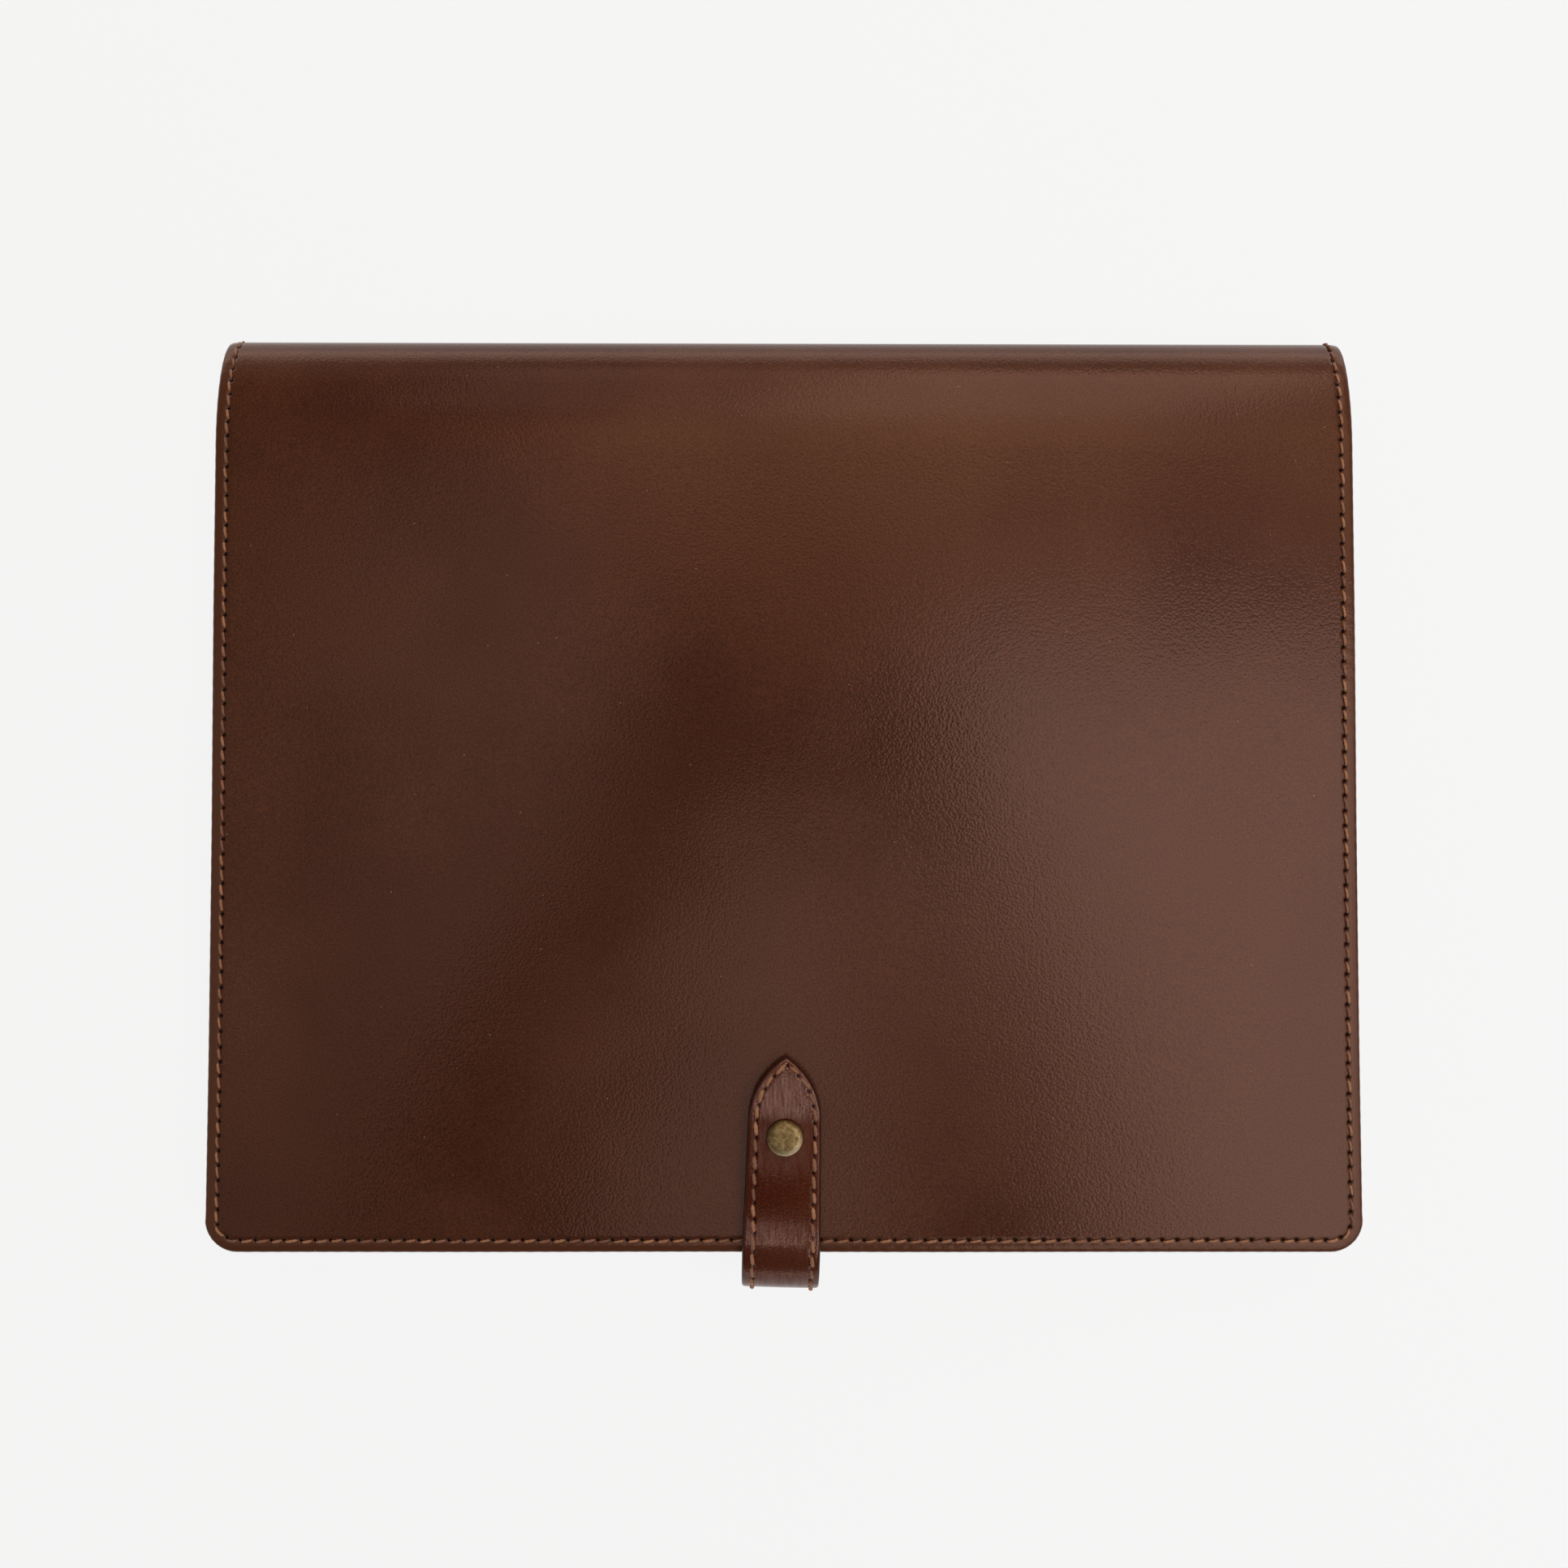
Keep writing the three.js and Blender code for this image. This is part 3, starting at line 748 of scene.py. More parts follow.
# The flesh side of the hide, shaved and left raw: pale, matt and fibrous.
def raw_flesh_side():
    material, tree = new_material("raw_flesh_side_leather")
    place = add(tree, "TexCoord").outputs["Object"]
    nap = add(tree, "TexNoise", {"Scale": per(NAP), "Detail": 6, "Roughness": 0.75}, {"Vector": place})
    colour = add(
        tree,
        "Mix",
        {"data_type": "RGBA", 6: srgb("#5e3d28"), 7: srgb("#8a6445")},
        {0: nap.outputs["Fac"]},
    )
    fibres = add(tree, "Bump", {"Distance": NAP_DEPTH * MM}, {"Height": nap.outputs["Fac"]})
    surface = add(
        tree,
        "BsdfPrincipled",
        {"Roughness": 0.92, "Sheen Weight": 0.15},
        {"Base Color": colour.outputs[2], "Normal": fibres.outputs["Normal"]},
    )
    add(tree, "OutputMaterial", links={"Surface": surface.outputs[0]})
    return material


# Waxed linen thread, twisted from two plies: copper brown, matt, darker where wax and dirt have gathered.
def waxed_linen_thread():
    material, tree = new_material("waxed_linen_thread")
    wear = add(tree, "Attribute", {"attribute_name": "wear"})
    colour = add(
        tree,
        "Mix",
        {"data_type": "RGBA", 6: srgb("#7c4e36"), 7: srgb("#b37b55")},
        {0: wear.outputs["Fac"]},
    )
    place = add(tree, "TexCoord").outputs["Object"]
    fibre = add(tree, "TexNoise", {"Scale": per(THREAD_FIBRE), "Detail": 2}, {"Vector": place})
    fuzz = add(tree, "Bump", {"Distance": THREAD_FUZZ * MM}, {"Height": fibre.outputs["Fac"]})
    surface = add(
        tree,
        "BsdfPrincipled",
        {"Roughness": 0.6, "Sheen Weight": 0.1},
        {"Base Color": colour.outputs[2], "Normal": fuzz.outputs["Normal"]},
    )
    add(tree, "OutputMaterial", links={"Surface": surface.outputs[0]})
    return material


# Pressed brass, antiqued with acid and tumbled: dull gold with brown patina in blotches and a satin gloss,
# with a painted highlight on one side of the rim and painted shade on the other.
def antiqued_brass():
    material, tree = new_material("antiqued_brass")
    place = add(tree, "TexCoord").outputs["Object"]
    blotch = add(
        tree,
        "TexNoise",
        {"Scale": per(BRASS_BLOTCH), "Detail": 4, "Roughness": 0.7},
        {"Vector": place},
    )
    patina = add(tree, "MapRange", {"From Min": 0.38, "From Max": 0.66}, {"Value": blotch.outputs["Fac"]})
    aged = add(
        tree,
        "Mix",
        {"data_type": "RGBA", 6: srgb("#a68d62"), 7: srgb("#745a36")},
        {0: patina.outputs["Result"]},
    )
    # The rim gets a painted highlight on one side and painted shade on the other.
    colour = tinted(tree, aged.outputs[2], {"painted_rim_highlight": "#e0cca4", "painted_rim_shade": "#453017"})
    dull = add(tree, "MapRange", {"To Min": 0.42, "To Max": 0.6}, {"Value": patina.outputs["Result"]})
    dents = add(tree, "Bump", {"Distance": BRASS_DENT * MM}, {"Height": blotch.outputs["Fac"]})
    surface = add(
        tree,
        "BsdfPrincipled",
        {"Metallic": 1.0},
        {"Base Color": colour, "Roughness": dull.outputs["Result"], "Normal": dents.outputs["Normal"]},
    )
    add(tree, "OutputMaterial", links={"Surface": surface.outputs[0]})
    return material


# Bridle leather, waxed and glazed: deep brown with a soft, even wax gloss
COVER_HIDE = vegetable_tanned_leather(
    "waxed_bridle_leather", "#482518", "#54301f", "#4e2c1a", roughness=0.17, gloss=0.5
)
# Bridle leather, oiled and polished on a wheel: redder and glossier, with dark dyed edges
STRAP_HIDE = vegetable_tanned_leather(
    "oiled_bridle_leather", "#4a1c0d", "#552512", "#2a0f08", roughness=0.18, gloss=1.35, creased=True
)
# Thin leather, split and left without wax: a paler brown, and matt
POCKET_HIDE = vegetable_tanned_leather(
    "lining_weight_leather", "#4d2c1b", "#5a3422", "#3f2114", roughness=0.5, gloss=0.5
)
FLESH_SIDE = raw_flesh_side()
THREAD = waxed_linen_thread()
BRASS = antiqued_brass()


# Cover: the back, the fold and the flap

COVER = course_through(
    ([0], [0]),
    quarter_ellipse(
        COVER_LENGTH - FOLD_LOWER_RUN, FOLD_LINE_HEIGHT, FOLD_LOWER_RUN, FOLD_LINE_HEIGHT, -90, 0
    ),
    quarter_ellipse(
        FOLD_START, FOLD_LINE_HEIGHT, FOLD_UPPER_RUN, FLAP_HEIGHT_AT_FOLD - FOLD_LINE_HEIGHT, 0, 90
    ),
    [column[::-1] for column in zip(*FLAP_HEIGHTS)],
)


def cover_half_width(run):
    return np.interp(COVER.length - run, *zip(*FLAP_HALF_WIDTHS))


def slack(x, run):
    """How far the flap's leather waves out of its plain course."""
    on_flap = smooth_step(SLACK_ENDS, SLACK_IS_FULL, COVER.length - run)
    waves = sum(h * np.sin(x / across + run / along + start) for h, across, along, start in SLACK_WAVES)
    return SLACK_HEIGHT * on_flap * waves


def on_cover(x, run, lift):
    y, z, out_y, out_z = COVER.at(run)
    lift = lift + slack(x, run)
    skewed = y - FOLD_SKEW * x / HALF_WIDTH_AT_FOLD * y / COVER_LENGTH
    return np.stack([x + 0 * lift, skewed + out_y * lift, z + out_z * lift], -1)


def make_cover():
    cover = sewn_sheet(
        "cover_leather",
        cover_half_width,
        COVER.length,
        CORNER_RADIUS,
        on_cover,
        COVER_LEATHER,
        COVER_SPACING,
        rows_along(COVER, COVER_SPACING, COVER_BEND_DEGREES),
        [COVER_HIDE, FLESH_SIDE],
    )
    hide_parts("cover")


# Pocket: the front panel under the flap and the channel gusset behind it


def panel_half_width(run):
    return HALF_WIDTH_AT_FOLD - PANEL_INSET + 0 * run


def on_panel(x, run, lift):
    return np.stack([x + 0 * lift, POCKET_TOP - run + 0 * lift, POCKET_HEIGHT + lift + 0 * x], -1)


def make_front_panel():
    length = POCKET_TOP - PANEL_INSET
    panel = sewn_sheet(
        "front_panel_leather",
        panel_half_width,
        length,
        CORNER_RADIUS - PANEL_INSET,
        on_panel,
        POCKET_LEATHER,
        PANEL_SPACING,
        np.arange(0, length, float(PANEL_SPACING)),
        [POCKET_HIDE, FLESH_SIDE],
    )
    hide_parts("front_panel")


def gusset_section():
    """The channel cut across: distances in from the case's edge, and heights. Its wall bulges inwards."""
    wall = CHANNEL_DEPTH + POCKET_LEATHER
    middle = (GUSSET_LOW + GUSSET_HIGH) / 2
    upper_inset = PANEL_INSET + FLANGE_INSET
    return rounded(
        [
            (FLANGE_INSET, GUSSET_LOW, CUT_RADIUS),
            (wall, GUSSET_LOW, POCKET_LEATHER),
            (wall + WALL_BULGE, middle, BULGE_OUTER_RADIUS),
            (wall, GUSSET_HIGH, POCKET_LEATHER),
            (upper_inset, GUSSET_HIGH, CUT_RADIUS),
            (upper_inset, GUSSET_HIGH - POCKET_LEATHER, CUT_RADIUS),
            (CHANNEL_DEPTH, GUSSET_HIGH - POCKET_LEATHER, CREASE_RADIUS),
            (CHANNEL_DEPTH + WALL_BULGE, middle, BULGE_INNER_RADIUS),
            (CHANNEL_DEPTH, GUSSET_LOW + POCKET_LEATHER, CREASE_RADIUS),
            (FLANGE_INSET, GUSSET_LOW + POCKET_LEATHER, CUT_RADIUS),
        ]
    )


def gusset_path():
    """The case's edge down the left side, along its foot and up the right side, and the way inwards."""
    side = HALF_WIDTH_AT_FOLD
    turn = np.radians(np.linspace(0, 90, GUSSET_CORNER_POINTS))
    down = np.linspace(POCKET_TOP, CORNER_RADIUS, GUSSET_SIDE_POINTS)[:-1]
    to_notch = np.linspace(CORNER_RADIUS - side, -NOTCH_HALF - NOTCH_STEP, GUSSET_FOOT_POINTS)[1:]
    foot = np.concatenate([to_notch, [NOTCH_STEP - NOTCH_HALF, 0]])
    corner_x = CORNER_RADIUS * (1 - np.cos(turn)) - side
    corner_y = CORNER_RADIUS * (1 - np.sin(turn))
    x = np.concatenate([np.full(len(down), -side), corner_x, foot])
    y = np.concatenate([down, corner_y, np.zeros(len(foot))])
    in_x = np.concatenate([np.ones(len(down)), np.cos(turn), np.zeros(len(foot))])
    in_y = np.concatenate([np.zeros(len(down)), np.sin(turn), np.ones(len(foot))])
    x, in_x = np.concatenate([x, -x[-2::-1]]), np.concatenate([in_x, -in_x[-2::-1]])
    y, in_y = np.concatenate([y, y[-2::-1]]), np.concatenate([in_y, in_y[-2::-1]])
    return x[:, None], y[:, None], in_x[:, None], in_y[:, None]


def make_gusset():
    section = gusset_section()
    x, y, in_x, in_y = gusset_path()
    inset = np.tile(section[:, 0], (len(x), 1))
    lower_flange = section[:, 1] < GUSSET_LOW + POCKET_LEATHER + CUT_RADIUS
    at_notch = (np.abs(x) < NOTCH_HALF) & lower_flange
    inset = np.where(at_notch, np.maximum(inset, CHANNEL_DEPTH), inset)
    points = np.stack([x + in_x * inset, y + in_y * inset, section[:, 1] + 0 * inset], -1)
    faces = tube(len(x), len(section))
    burnish = np.clip((GUSSET_BURNISH_REACH - section[:, 0]) / BURNISH_WIDTH, 0, 1)
    marks = {"painted_pit_shade": np.zeros(inset.size), "burnish": np.broadcast_to(burnish, inset.shape)}
    gusset = make_piece("gusset_leather", points, faces, [POCKET_HIDE], marks=marks)
    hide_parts("gusset")


# Strap: from its point along the flap, round the loop and into the back seam


def strap_face_height(y):
    """The strap drops to its point, and from the snap to the flap's edge."""
    past_snap = np.maximum(0, y - SNAP_Y) / (STRAP_REACH - SNAP_Y)
    sagged = np.clip((STRAP_SAG_START - y) / (STRAP_SAG_START - STRAP_SAG_END), 0, 1)
    sag = STRAP_SAG * (1 - np.cos(math.pi * sagged)) / 2
    return STRAP_FACE_HEIGHT - STRAP_POINT_DROP * past_snap**STRAP_POINT_CURL - sag


STRAP_ON_FLAP = np.linspace(STRAP_REACH, STRAP_BEND_START, STRAP_POINTS)
LOOP_RISE = STRAP_FACE_HEIGHT - STRAP_SAG - LOOP_HEIGHT
STRAP = course_through(
    (STRAP_ON_FLAP, strap_face_height(STRAP_ON_FLAP)),
    quarter_ellipse(STRAP_BEND_START, LOOP_HEIGHT, STRAP_BEND_START + LOOP_REACH, LOOP_RISE, 90, 180),
    quarter_ellipse(0, LOOP_HEIGHT, LOOP_REACH, LOOP_HEIGHT - COVER_LEATHER - GAP, 180, 270),
    ([STRAP_ROOT], [COVER_LEATHER + GAP]),
)

NECK_HALF = STRAP_NECK_WIDTH / 2
POINT_ARC = (STRAP_POINT_LENGTH**2 + NECK_HALF**2) / (2 * NECK_HALF)
SNAP_RUN = STRAP.run[np.argmax(STRAP.y <= SNAP_Y)]
# Columns of points in from each edge, closer together where half the strap is narrower than they need
STRAP_COLUMNS = np.array(
    [0, 0.08, 0.25, 0.5, 0.9, 1.2, 1.5, 1.75, 2, 2.2, 2.4, 2.6, 2.8, 3, 3.2, 3.45, 3.7, 4, 4.4, 4.9, 5.5]
)
STRAP_COLUMNS_NEED = 7
STRAP_MIDDLE_COLUMNS = 7
STRAP_TIP_ROWS = [0, 0.12, 0.28]
STRAP_SPACING = 0.5
STRAP_BEND_DEGREES = 3


def widened(run):
    """How much wider each side of the strap is than its neck, from the neck to the loop."""
    side_length = STRAP_REACH - STRAP_BEND_START - STRAP_POINT_LENGTH
    along_side = np.clip((run - STRAP_POINT_LENGTH) / side_length, 0, 1)
    return along_side * (STRAP_WIDTH - STRAP_NECK_WIDTH) / 2


def strap_half_width(run):
    """Two arcs that meet at the point, then sides that widen to the loop."""
    rest = np.maximum(0, STRAP_POINT_LENGTH - run)
    in_point = NECK_HALF - POINT_ARC + np.sqrt(POINT_ARC**2 - rest**2)
    return np.maximum(STRAP_POINT_BLUNT, in_point) + widened(run)


def off_neck_line(x, run):
    """How far in a flat place is from the strap's outline without its widening: stitches keep to that."""
    rest = np.maximum(0, STRAP_POINT_LENGTH - run)
    return POINT_ARC - np.hypot(np.abs(x) + POINT_ARC - NECK_HALF, rest)


def off_strap_edge(x, run):
    """How far in from the nearest edge of the strap a flat place is."""
    side = off_neck_line(np.abs(x) - widened(run), run)
    return np.clip(np.minimum(side, np.minimum(run, STRAP.length - run)), 0, None)


def on_strap(x, run, lift):
    """The strap leans about the snap, and its face is a little lower towards its sides."""
    y, z, out_y, out_z = STRAP.at(run)
    lift = lift - STRAP_CROWN * (2 * x / STRAP_WIDTH) ** 2
    x, y = x + STRAP_OFF_SNAP, y + out_y * lift - SNAP_Y
    turned_x = SNAP_X + x * math.cos(STRAP_LEAN) - y * math.sin(STRAP_LEAN)
    turned_y = SNAP_Y + x * math.sin(STRAP_LEAN) + y * math.cos(STRAP_LEAN)
    return np.stack([turned_x, turned_y, z + out_z * lift], -1)


def on_strap_seam(x, run, lift):
    """The row of stitches sits a little to one side of the strap's middle line."""
    return on_strap(x + STRAP_SEAM_SHIFT, run, lift)


def strap_seam():
    """The line the stitches keep to: from the root up the left side to the point, and down the right."""
    inset = STRAP_SEAM.inset
    meet = math.acos((POINT_ARC - NECK_HALF) / (POINT_ARC - inset))
    turn = np.linspace(meet, 0, STRAP_SEAM_ARC_POINTS)
    straight = np.linspace(STRAP_POINT_LENGTH, STRAP.length, STRAP_SEAM_SIDE_POINTS)[1:]
    arc_x = NECK_HALF - POINT_ARC + POINT_ARC * np.cos(turn)
    x = np.concatenate([arc_x, np.full(len(straight), NECK_HALF)])
    s = np.concatenate([STRAP_POINT_LENGTH - POINT_ARC * np.sin(turn), straight])
    in_x = np.concatenate([-np.cos(turn), np.full(len(straight), -1.0)])
    in_s = np.concatenate([np.sin(turn), np.zeros(len(straight))])
    x, in_x = np.concatenate([-x[::-1], x]), np.concatenate([-in_x[::-1], in_x])
    s, in_s = np.concatenate([s[::-1], s]), np.concatenate([in_s[::-1], in_s])
    return Edge(travelled(x + in_x * inset, s + in_s * inset), x, s, in_x, in_s, False)


def make_strap():
    seam = strap_seam()
    pitch, inset = STRAP_SEAM.pitch, STRAP_SEAM.inset
    each_way = int(seam.length / 2 / pitch - 0.5)
    holes = uneven(seam.length / 2 + pitch * np.arange(-each_way, each_way + 1), pitch)
    hole_x, hole_s = seam.at(holes, inset)
    edge_x, edge_s = seam.at(holes, 0)
    in_x, in_s = (hole_x - edge_x) / inset, (hole_s - edge_s) / inset

    past_tip = rows_along(STRAP, STRAP_SPACING, STRAP_BEND_DEGREES)[1:]
    run = np.concatenate([STRAP_TIP_ROWS, past_tip, [STRAP.length]])[:, None]
    half = strap_half_width(run)
    right = half - np.minimum(1, half / STRAP_COLUMNS_NEED) * STRAP_COLUMNS
    centre = right[:, -1:] * np.linspace(1, -1, STRAP_MIDDLE_COLUMNS + 2)[1:-1]
    x = np.concatenate([right, centre, -right[:, ::-1]], 1)
    run = run + 0 * x
    off_edge = off_strap_edge(x, run)
    across = x - STRAP_SEAM_SHIFT
    nearest = np.argmin(np.hypot(across[..., None] - hole_x, run[..., None] - hole_s), -1)
    from_x, from_s = across - hole_x[nearest], run - hole_s[nearest]
    to_hole = from_x * in_s[nearest] - from_s * in_x[nearest]
    relief, dark = seam_relief(off_neck_line(across, run) - inset, to_hole, STRAP_SEAM)
    from_snap = np.hypot(x, run - SNAP_RUN)
    dimple = DIMPLE_DEPTH * np.exp(-(((from_snap - DIMPLE_RADIUS) / DIMPLE_WIDTH) ** 2))
    radius = EDGE_ROUND * STRAP_LEATHER
    turn_over = radius - np.sqrt(radius**2 - np.clip(radius - off_edge, 0, radius) ** 2)
    on_face = off_edge > radius
    outer = on_strap(x, run, -(turn_over + np.where(on_face, relief, 0) + dimple))
    inner = on_strap(x, run, turn_over - STRAP_LEATHER)
    points = np.concatenate([outer, inner[:, ::-1]], 1)
    faces = tube(*points.shape[:2])
    burnish = smooth_step(*STRAP_BURNISH, off_edge)
    y = STRAP.at(run)[0]
    by_snap = smooth_step(*WORN_BY_LOOP, y) * smooth_step(*WORN_BY_SNAP, y)
    at_loop_end = smooth_step(*WORN_LOOP_END, y)
    worn = np.maximum(WORN_AT_SNAP * by_snap, WORN_AT_LOOP_END * at_loop_end)
    worn = np.maximum(worn, burnish)
    # Painted shade darkens the needle holes on the strap's face.
    marks = {
        "painted_pit_shade": np.concatenate([np.where(on_face, dark, 0), 0 * dark], 1),
        "burnish": np.concatenate([burnish, burnish[:, ::-1]], 1),
        "worn": np.concatenate([worn, 0 * worn + 1], 1),
    }
    strap = make_piece("strap_leather", points, faces, [STRAP_HIDE], marks=marks)
    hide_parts("strap")
    sew("strap_stitches", seam, holes, STRAP_SEAM, on_strap_seam, THREAD)


def cap_profile():
    """Half the snap cap cut through its axis, as (radius, height): socket, post, rim and dome."""
    seat = STRAP_FACE_HEIGHT + GAP
    under_strap = STRAP_FACE_HEIGHT - STRAP_LEATHER - GAP
    mouth = under_strap - PLATE
    angle = np.radians(np.linspace(0, 90, DOME_POINTS))
    dome_radius = CAP_RADIUS * np.cos(angle) ** CAP_SHOULDER
    dome_radius[-1] = 0
    dome = np.stack([dome_radius, seat + CAP_RIM + CAP_DOME * np.sin(angle)], -1)
    below_dome = [
        (0, mouth + SOCKET_DEPTH),
        (SOCKET_BORE, mouth + SOCKET_DEPTH),
        (SOCKET_BORE, mouth),
        (SOCKET_RADIUS, mouth),
        (SOCKET_RADIUS, under_strap),
        (POST_RADIUS, under_strap),
        (POST_RADIUS, seat),
        (CAP_RADIUS - CAP_RIM, seat),
        (CAP_RADIUS - CAP_LIP_IN, seat + CAP_LIP_UP),
    ]
    return np.concatenate([below_dome, dome])


def make_snap_cap():
    """Turned about the snap's own axis: a flat-topped dome, its post through the strap, and the socket."""
    profile = cap_profile()
    angle = np.arange(CAP_SIDES) * 2 * math.pi / CAP_SIDES
    radius, z = profile[1:-1, 0], profile[1:-1, 1]
    rings = np.stack(
        [
            SNAP_X + radius[:, None] * np.cos(angle),
            SNAP_Y + radius[:, None] * np.sin(angle),
            z[:, None] + 0 * angle,
        ],
        -1,
    )
    count = len(radius)
    ends = [(SNAP_X, SNAP_Y, profile[0, 1]), (SNAP_X, SNAP_Y, profile[-1, 1])]
    points = np.concatenate([rings.reshape(-1, 3), ends])
    faces = [*net(count, CAP_SIDES, columns_close=True)]
    around = np.arange(CAP_SIDES)
    bore_end, top_end = count * CAP_SIDES, count * CAP_SIDES + 1
    top = (count - 1) * CAP_SIDES
    faces += [(bore_end, (i + 1) % CAP_SIDES, i) for i in around]
    faces += [(top_end, top + i, top + (i + 1) % CAP_SIDES) for i in around]
    out_x, out_y = (points[:, 0] - SNAP_X) / CAP_RADIUS, (points[:, 1] - SNAP_Y) / CAP_RADIUS
    toward_highlight = HIGHLIGHT_X * out_x + HIGHLIGHT_Y * out_y
    out = np.hypot(out_x, out_y)
    # Painted highlight on the rim towards the lower right, painted shade on the far side.
    marks = {
        "painted_rim_highlight": PAINTED_HIGHLIGHT * smooth_step(*HIGHLIGHT_OUT, out) * smooth_step(*HIGHLIGHT_WAY, toward_highlight),
        "painted_rim_shade": PAINTED_SHADE * smooth_step(*SHADE_OUT, out) * smooth_step(*SHADE_WAY, toward_highlight),
    }
    cap = make_piece("snap_cap_brass", points, faces, [BRASS], marks=marks)
    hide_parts("snap_cap")


make_cover()
make_front_panel()
make_gusset()
make_strap()
make_snap_cap()


# Floor, lights and camera

FLOOR_HALF_SIDE = 40000
FLOOR_DROP = 0.2
# Far from the lamps the paper glows a little more, so that it is as pale there: from and to this distance
PAPER_NEAR, PAPER_FAR = 900, 3000


# Matt white seamless paper, lit from under as well, so that it stays pale with hardly a shadow.
def lit_paper():
    material, tree = new_material("lit_white_paper")
    place = add(tree, "TexCoord").outputs["Object"]
    from_case = add(tree, "VectorMath", {"operation": "LENGTH"}, {0: place})
    glow = add(
        tree,
        "MapRange",
        {
            "interpolation_type": "SMOOTHSTEP",
            "From Min": PAPER_NEAR * MM,
            "From Max": PAPER_FAR * MM,
            "To Min": 0.867,
            "To Max": 0.897,
        },
        {"Value": from_case.outputs["Value"]},
    )
    surface = add(
        tree,
        "BsdfPrincipled",
        {"Base Color": srgb("#505050"), "Specular IOR Level": 0.0, "Emission Color": srgb("#ffffff")},
        {"Emission Strength": glow.outputs["Result"]},
    )
    add(tree, "OutputMaterial", links={"Surface": surface.outputs[0]})
    return material


# White diffuser cloth, woven and stretched over a lamp: evenly bright from every side.
def lit_diffuser_cloth(brightness, colour):
    material, tree = new_material("lit_diffuser_cloth")
    glow = add(tree, "Emission", {"Strength": brightness, "Color": srgb(colour)})
    add(tree, "OutputMaterial", links={"Surface": glow.outputs[0]})
    return material


def add_to_stage(name, corners, material):
    """A flat stage piece with its corners in millimetres."""
    mesh = bpy.data.meshes.new(name)
    mesh.from_pydata((np.array(corners) * MM).tolist(), [], [list(range(len(corners)))])
    mesh.materials.append(material)
    piece = put_in_scene(name, mesh)
    return piece


def make_floor():
    side, level = FLOOR_HALF_SIDE, -FLOOR_DROP
    corners = [(-side, -side, level), (side, -side, level), (side, side, level), (-side, side, level)]
    add_to_stage("floor", corners, lit_paper())


# Overhead diffusers of even brightness, each cut to the patch of the flap that mirrors it to the camera.
# Corners are x from the middle and y from under the camera, in millimetres on the flap.
DIFFUSER_HEIGHT = 900
DAYLIGHT = "#ffffff"
LAMPLIGHT = "#ffe3c8"
DIFFUSERS = [
    (
        "right_diffuser",
        2.15,
        DAYLIGHT,
        [(44, 56), (48, 0), (94, -105), (110, -170), (230, -190), (230, 58)],
    ),
    (
        "right_edge_diffuser",
        1.5,
        DAYLIGHT,
        [(230, 58), (230, -190), (110, -172), (55, -182), (55, -290), (400, -290), (400, 58)],
    ),
    ("left_edge_diffuser", 0.3, DAYLIGHT, [(-190, 60), (-400, 60), (-400, -120), (-190, -120)]),
    (
        "left_diffuser",
        0.62,
        DAYLIGHT,
        [(-40, 54), (-62, -24), (-108, -86), (-120, -108), (-120, 94), (-60, 98)],
    ),
    ("outer_left_diffuser", 0.34, DAYLIGHT, [(-120, 94), (-120, -10), (-160, -10), (-160, 80)]),
    (
        "lower_left_diffuser",
        0.43,
        DAYLIGHT,
        [(-120, -10), (-120, -108), (-140, -170), (-190, -170), (-190, -10)],
    ),
    ("lower_diffuser", 1.05, DAYLIGHT, [(-15, -4), (26, -4), (21, -162), (-62, -162)]),
    ("far_diffuser", 0.85, LAMPLIGHT, [(-60, 76), (330, 76), (330, 98), (-60, 98)]),
    ("far_outer_left_diffuser", 0.28, LAMPLIGHT, [(-175, 98), (-85, 98), (-85, 200), (-175, 200)]),
    ("far_left_diffuser", 1.2, LAMPLIGHT, [(-85, 98), (42, 98), (42, 200), (-85, 200)]),
    ("far_middle_diffuser", 1.7, LAMPLIGHT, [(42, 98), (135, 98), (135, 200), (42, 200)]),
    ("far_right_diffuser", 1.1, LAMPLIGHT, [(135, 98), (330, 98), (330, 200), (135, 200)]),
]

# Lamps round the case: azimuth from the front, elevation, distance, width, height, brightness and colour.
# The three back lamps rise from the floor to unlike heights, so that the fold's gloss grows to its edge.
LAMPS = [
    ("fold_lamp", 164, 43, 1300, 480, 760, 1.22, "#ffefdf"),
    ("wide_fold_lamp", 168, 43, 1320, 1200, 760, 0.71, "#ffefdf"),
    ("low_back_lamp", 180, 3.6, 1600, 2600, 200, 0.45, "#ffefdf"),
    ("middle_back_lamp", 180, 9, 1600, 2600, 500, 0.3, "#ffefdf"),
    ("tall_back_lamp", 180, 18, 1600, 2600, 1000, 0.25, "#ffefdf"),
    ("right_lamp", 60, 45, 1600, 900, 900, 0.4, "#fff2e8"),
    ("left_lamp", -70, 40, 1600, 900, 900, 0.3, "#fff2e8"),
]


def make_diffusers():
    to_camera = CAMERA_HEIGHT - THICKNESS
    spread = (to_camera + DIFFUSER_HEIGHT) / to_camera
    height = THICKNESS + DIFFUSER_HEIGHT
    for name, brightness, colour, patch in DIFFUSERS:
        corners = [(spread * x, spread * y + CAMERA_Y + LOWER_EDGE, height) for x, y in patch]
        diffuser = add_to_stage(name, corners, lit_diffuser_cloth(brightness, colour))
        diffuser.visible_camera = False


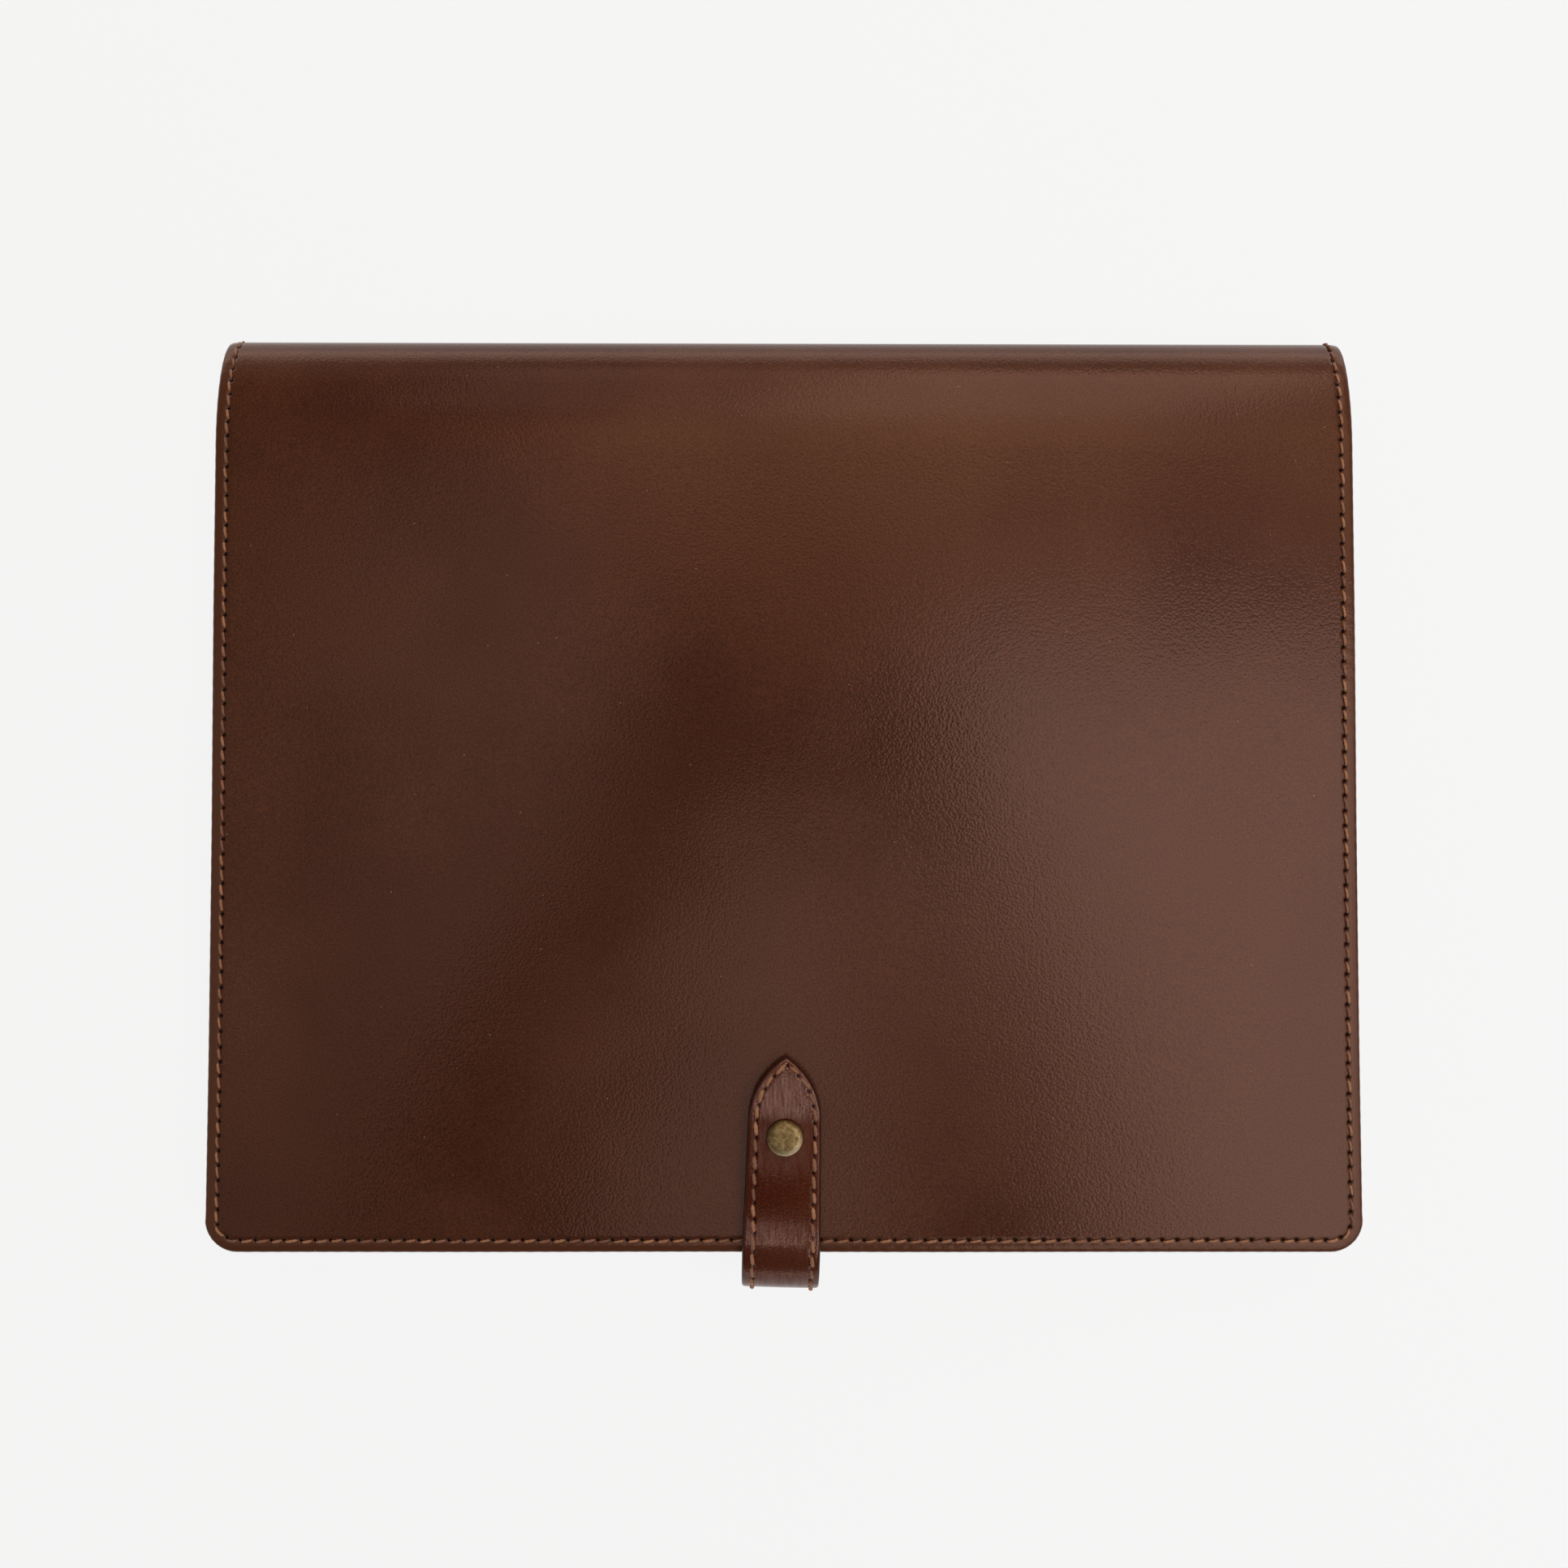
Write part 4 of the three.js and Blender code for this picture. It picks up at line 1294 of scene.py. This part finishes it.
def make_lamps():
    for name, azimuth, elevation, distance, width, height, brightness, colour in LAMPS:
        a, e = math.radians(azimuth), math.radians(elevation)
        way = Vector((math.sin(a) * math.cos(e), -math.cos(a) * math.cos(e), math.sin(e)))
        lamp = bpy.data.lights.new(name, "AREA")
        lamp.shape = "RECTANGLE"
        lamp.size, lamp.size_y = width * MM, height * MM
        lamp.energy = brightness * math.pi * lamp.size * lamp.size_y
        lamp.color = srgb(colour)[:3]
        holder = put_in_scene(name, lamp)
        holder.location = way * distance * MM
        holder.rotation_euler = way.to_track_quat("Z", "Y").to_euler()
        holder.visible_camera = False


# The walls' brightness, and the sines of the elevations between which it fades
WALL_LOW, WALL_OVERHEAD = 0.91, 0.05
FADE_STARTS, FADE_ENDS = 0.18, 0.36


def make_room():
    """Even studio walls: pale near the floor and dim overhead."""
    world = bpy.data.worlds.new("studio")
    world.use_nodes = True
    tree = world.node_tree
    tree.nodes.clear()
    way = add(tree, "TexCoord").outputs["Generated"]
    up = add(tree, "SeparateXYZ", links={"Vector": way})
    pale = add(
        tree,
        "MapRange",
        {
            "interpolation_type": "SMOOTHSTEP",
            "From Min": FADE_STARTS,
            "From Max": FADE_ENDS,
            "To Min": WALL_LOW,
            "To Max": WALL_OVERHEAD,
        },
        {"Value": up.outputs["Z"]},
    )
    glow = add(tree, "Background", {"Color": srgb("#ffffff")}, {"Strength": pale.outputs["Result"]})
    add(tree, "OutputWorld", links={"Surface": glow.outputs[0]})
    bpy.context.scene.world = world


def make_camera():
    data = bpy.data.cameras.new("camera")
    data.sensor_width = SENSOR
    data.lens = SENSOR * FOCAL_PIXELS / IMAGE_SIDE
    data.clip_start = 10 * MM
    camera = put_in_scene("camera", data)
    camera.location = (0, (CAMERA_Y + LOWER_EDGE) * MM, CAMERA_HEIGHT * MM)
    bpy.context.scene.camera = camera


make_floor()
make_diffusers()
make_lamps()
make_room()
make_camera()
bpy.context.scene.view_settings.view_transform = "Standard"

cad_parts["snap_stud"].material_slots[0].material = BRASS
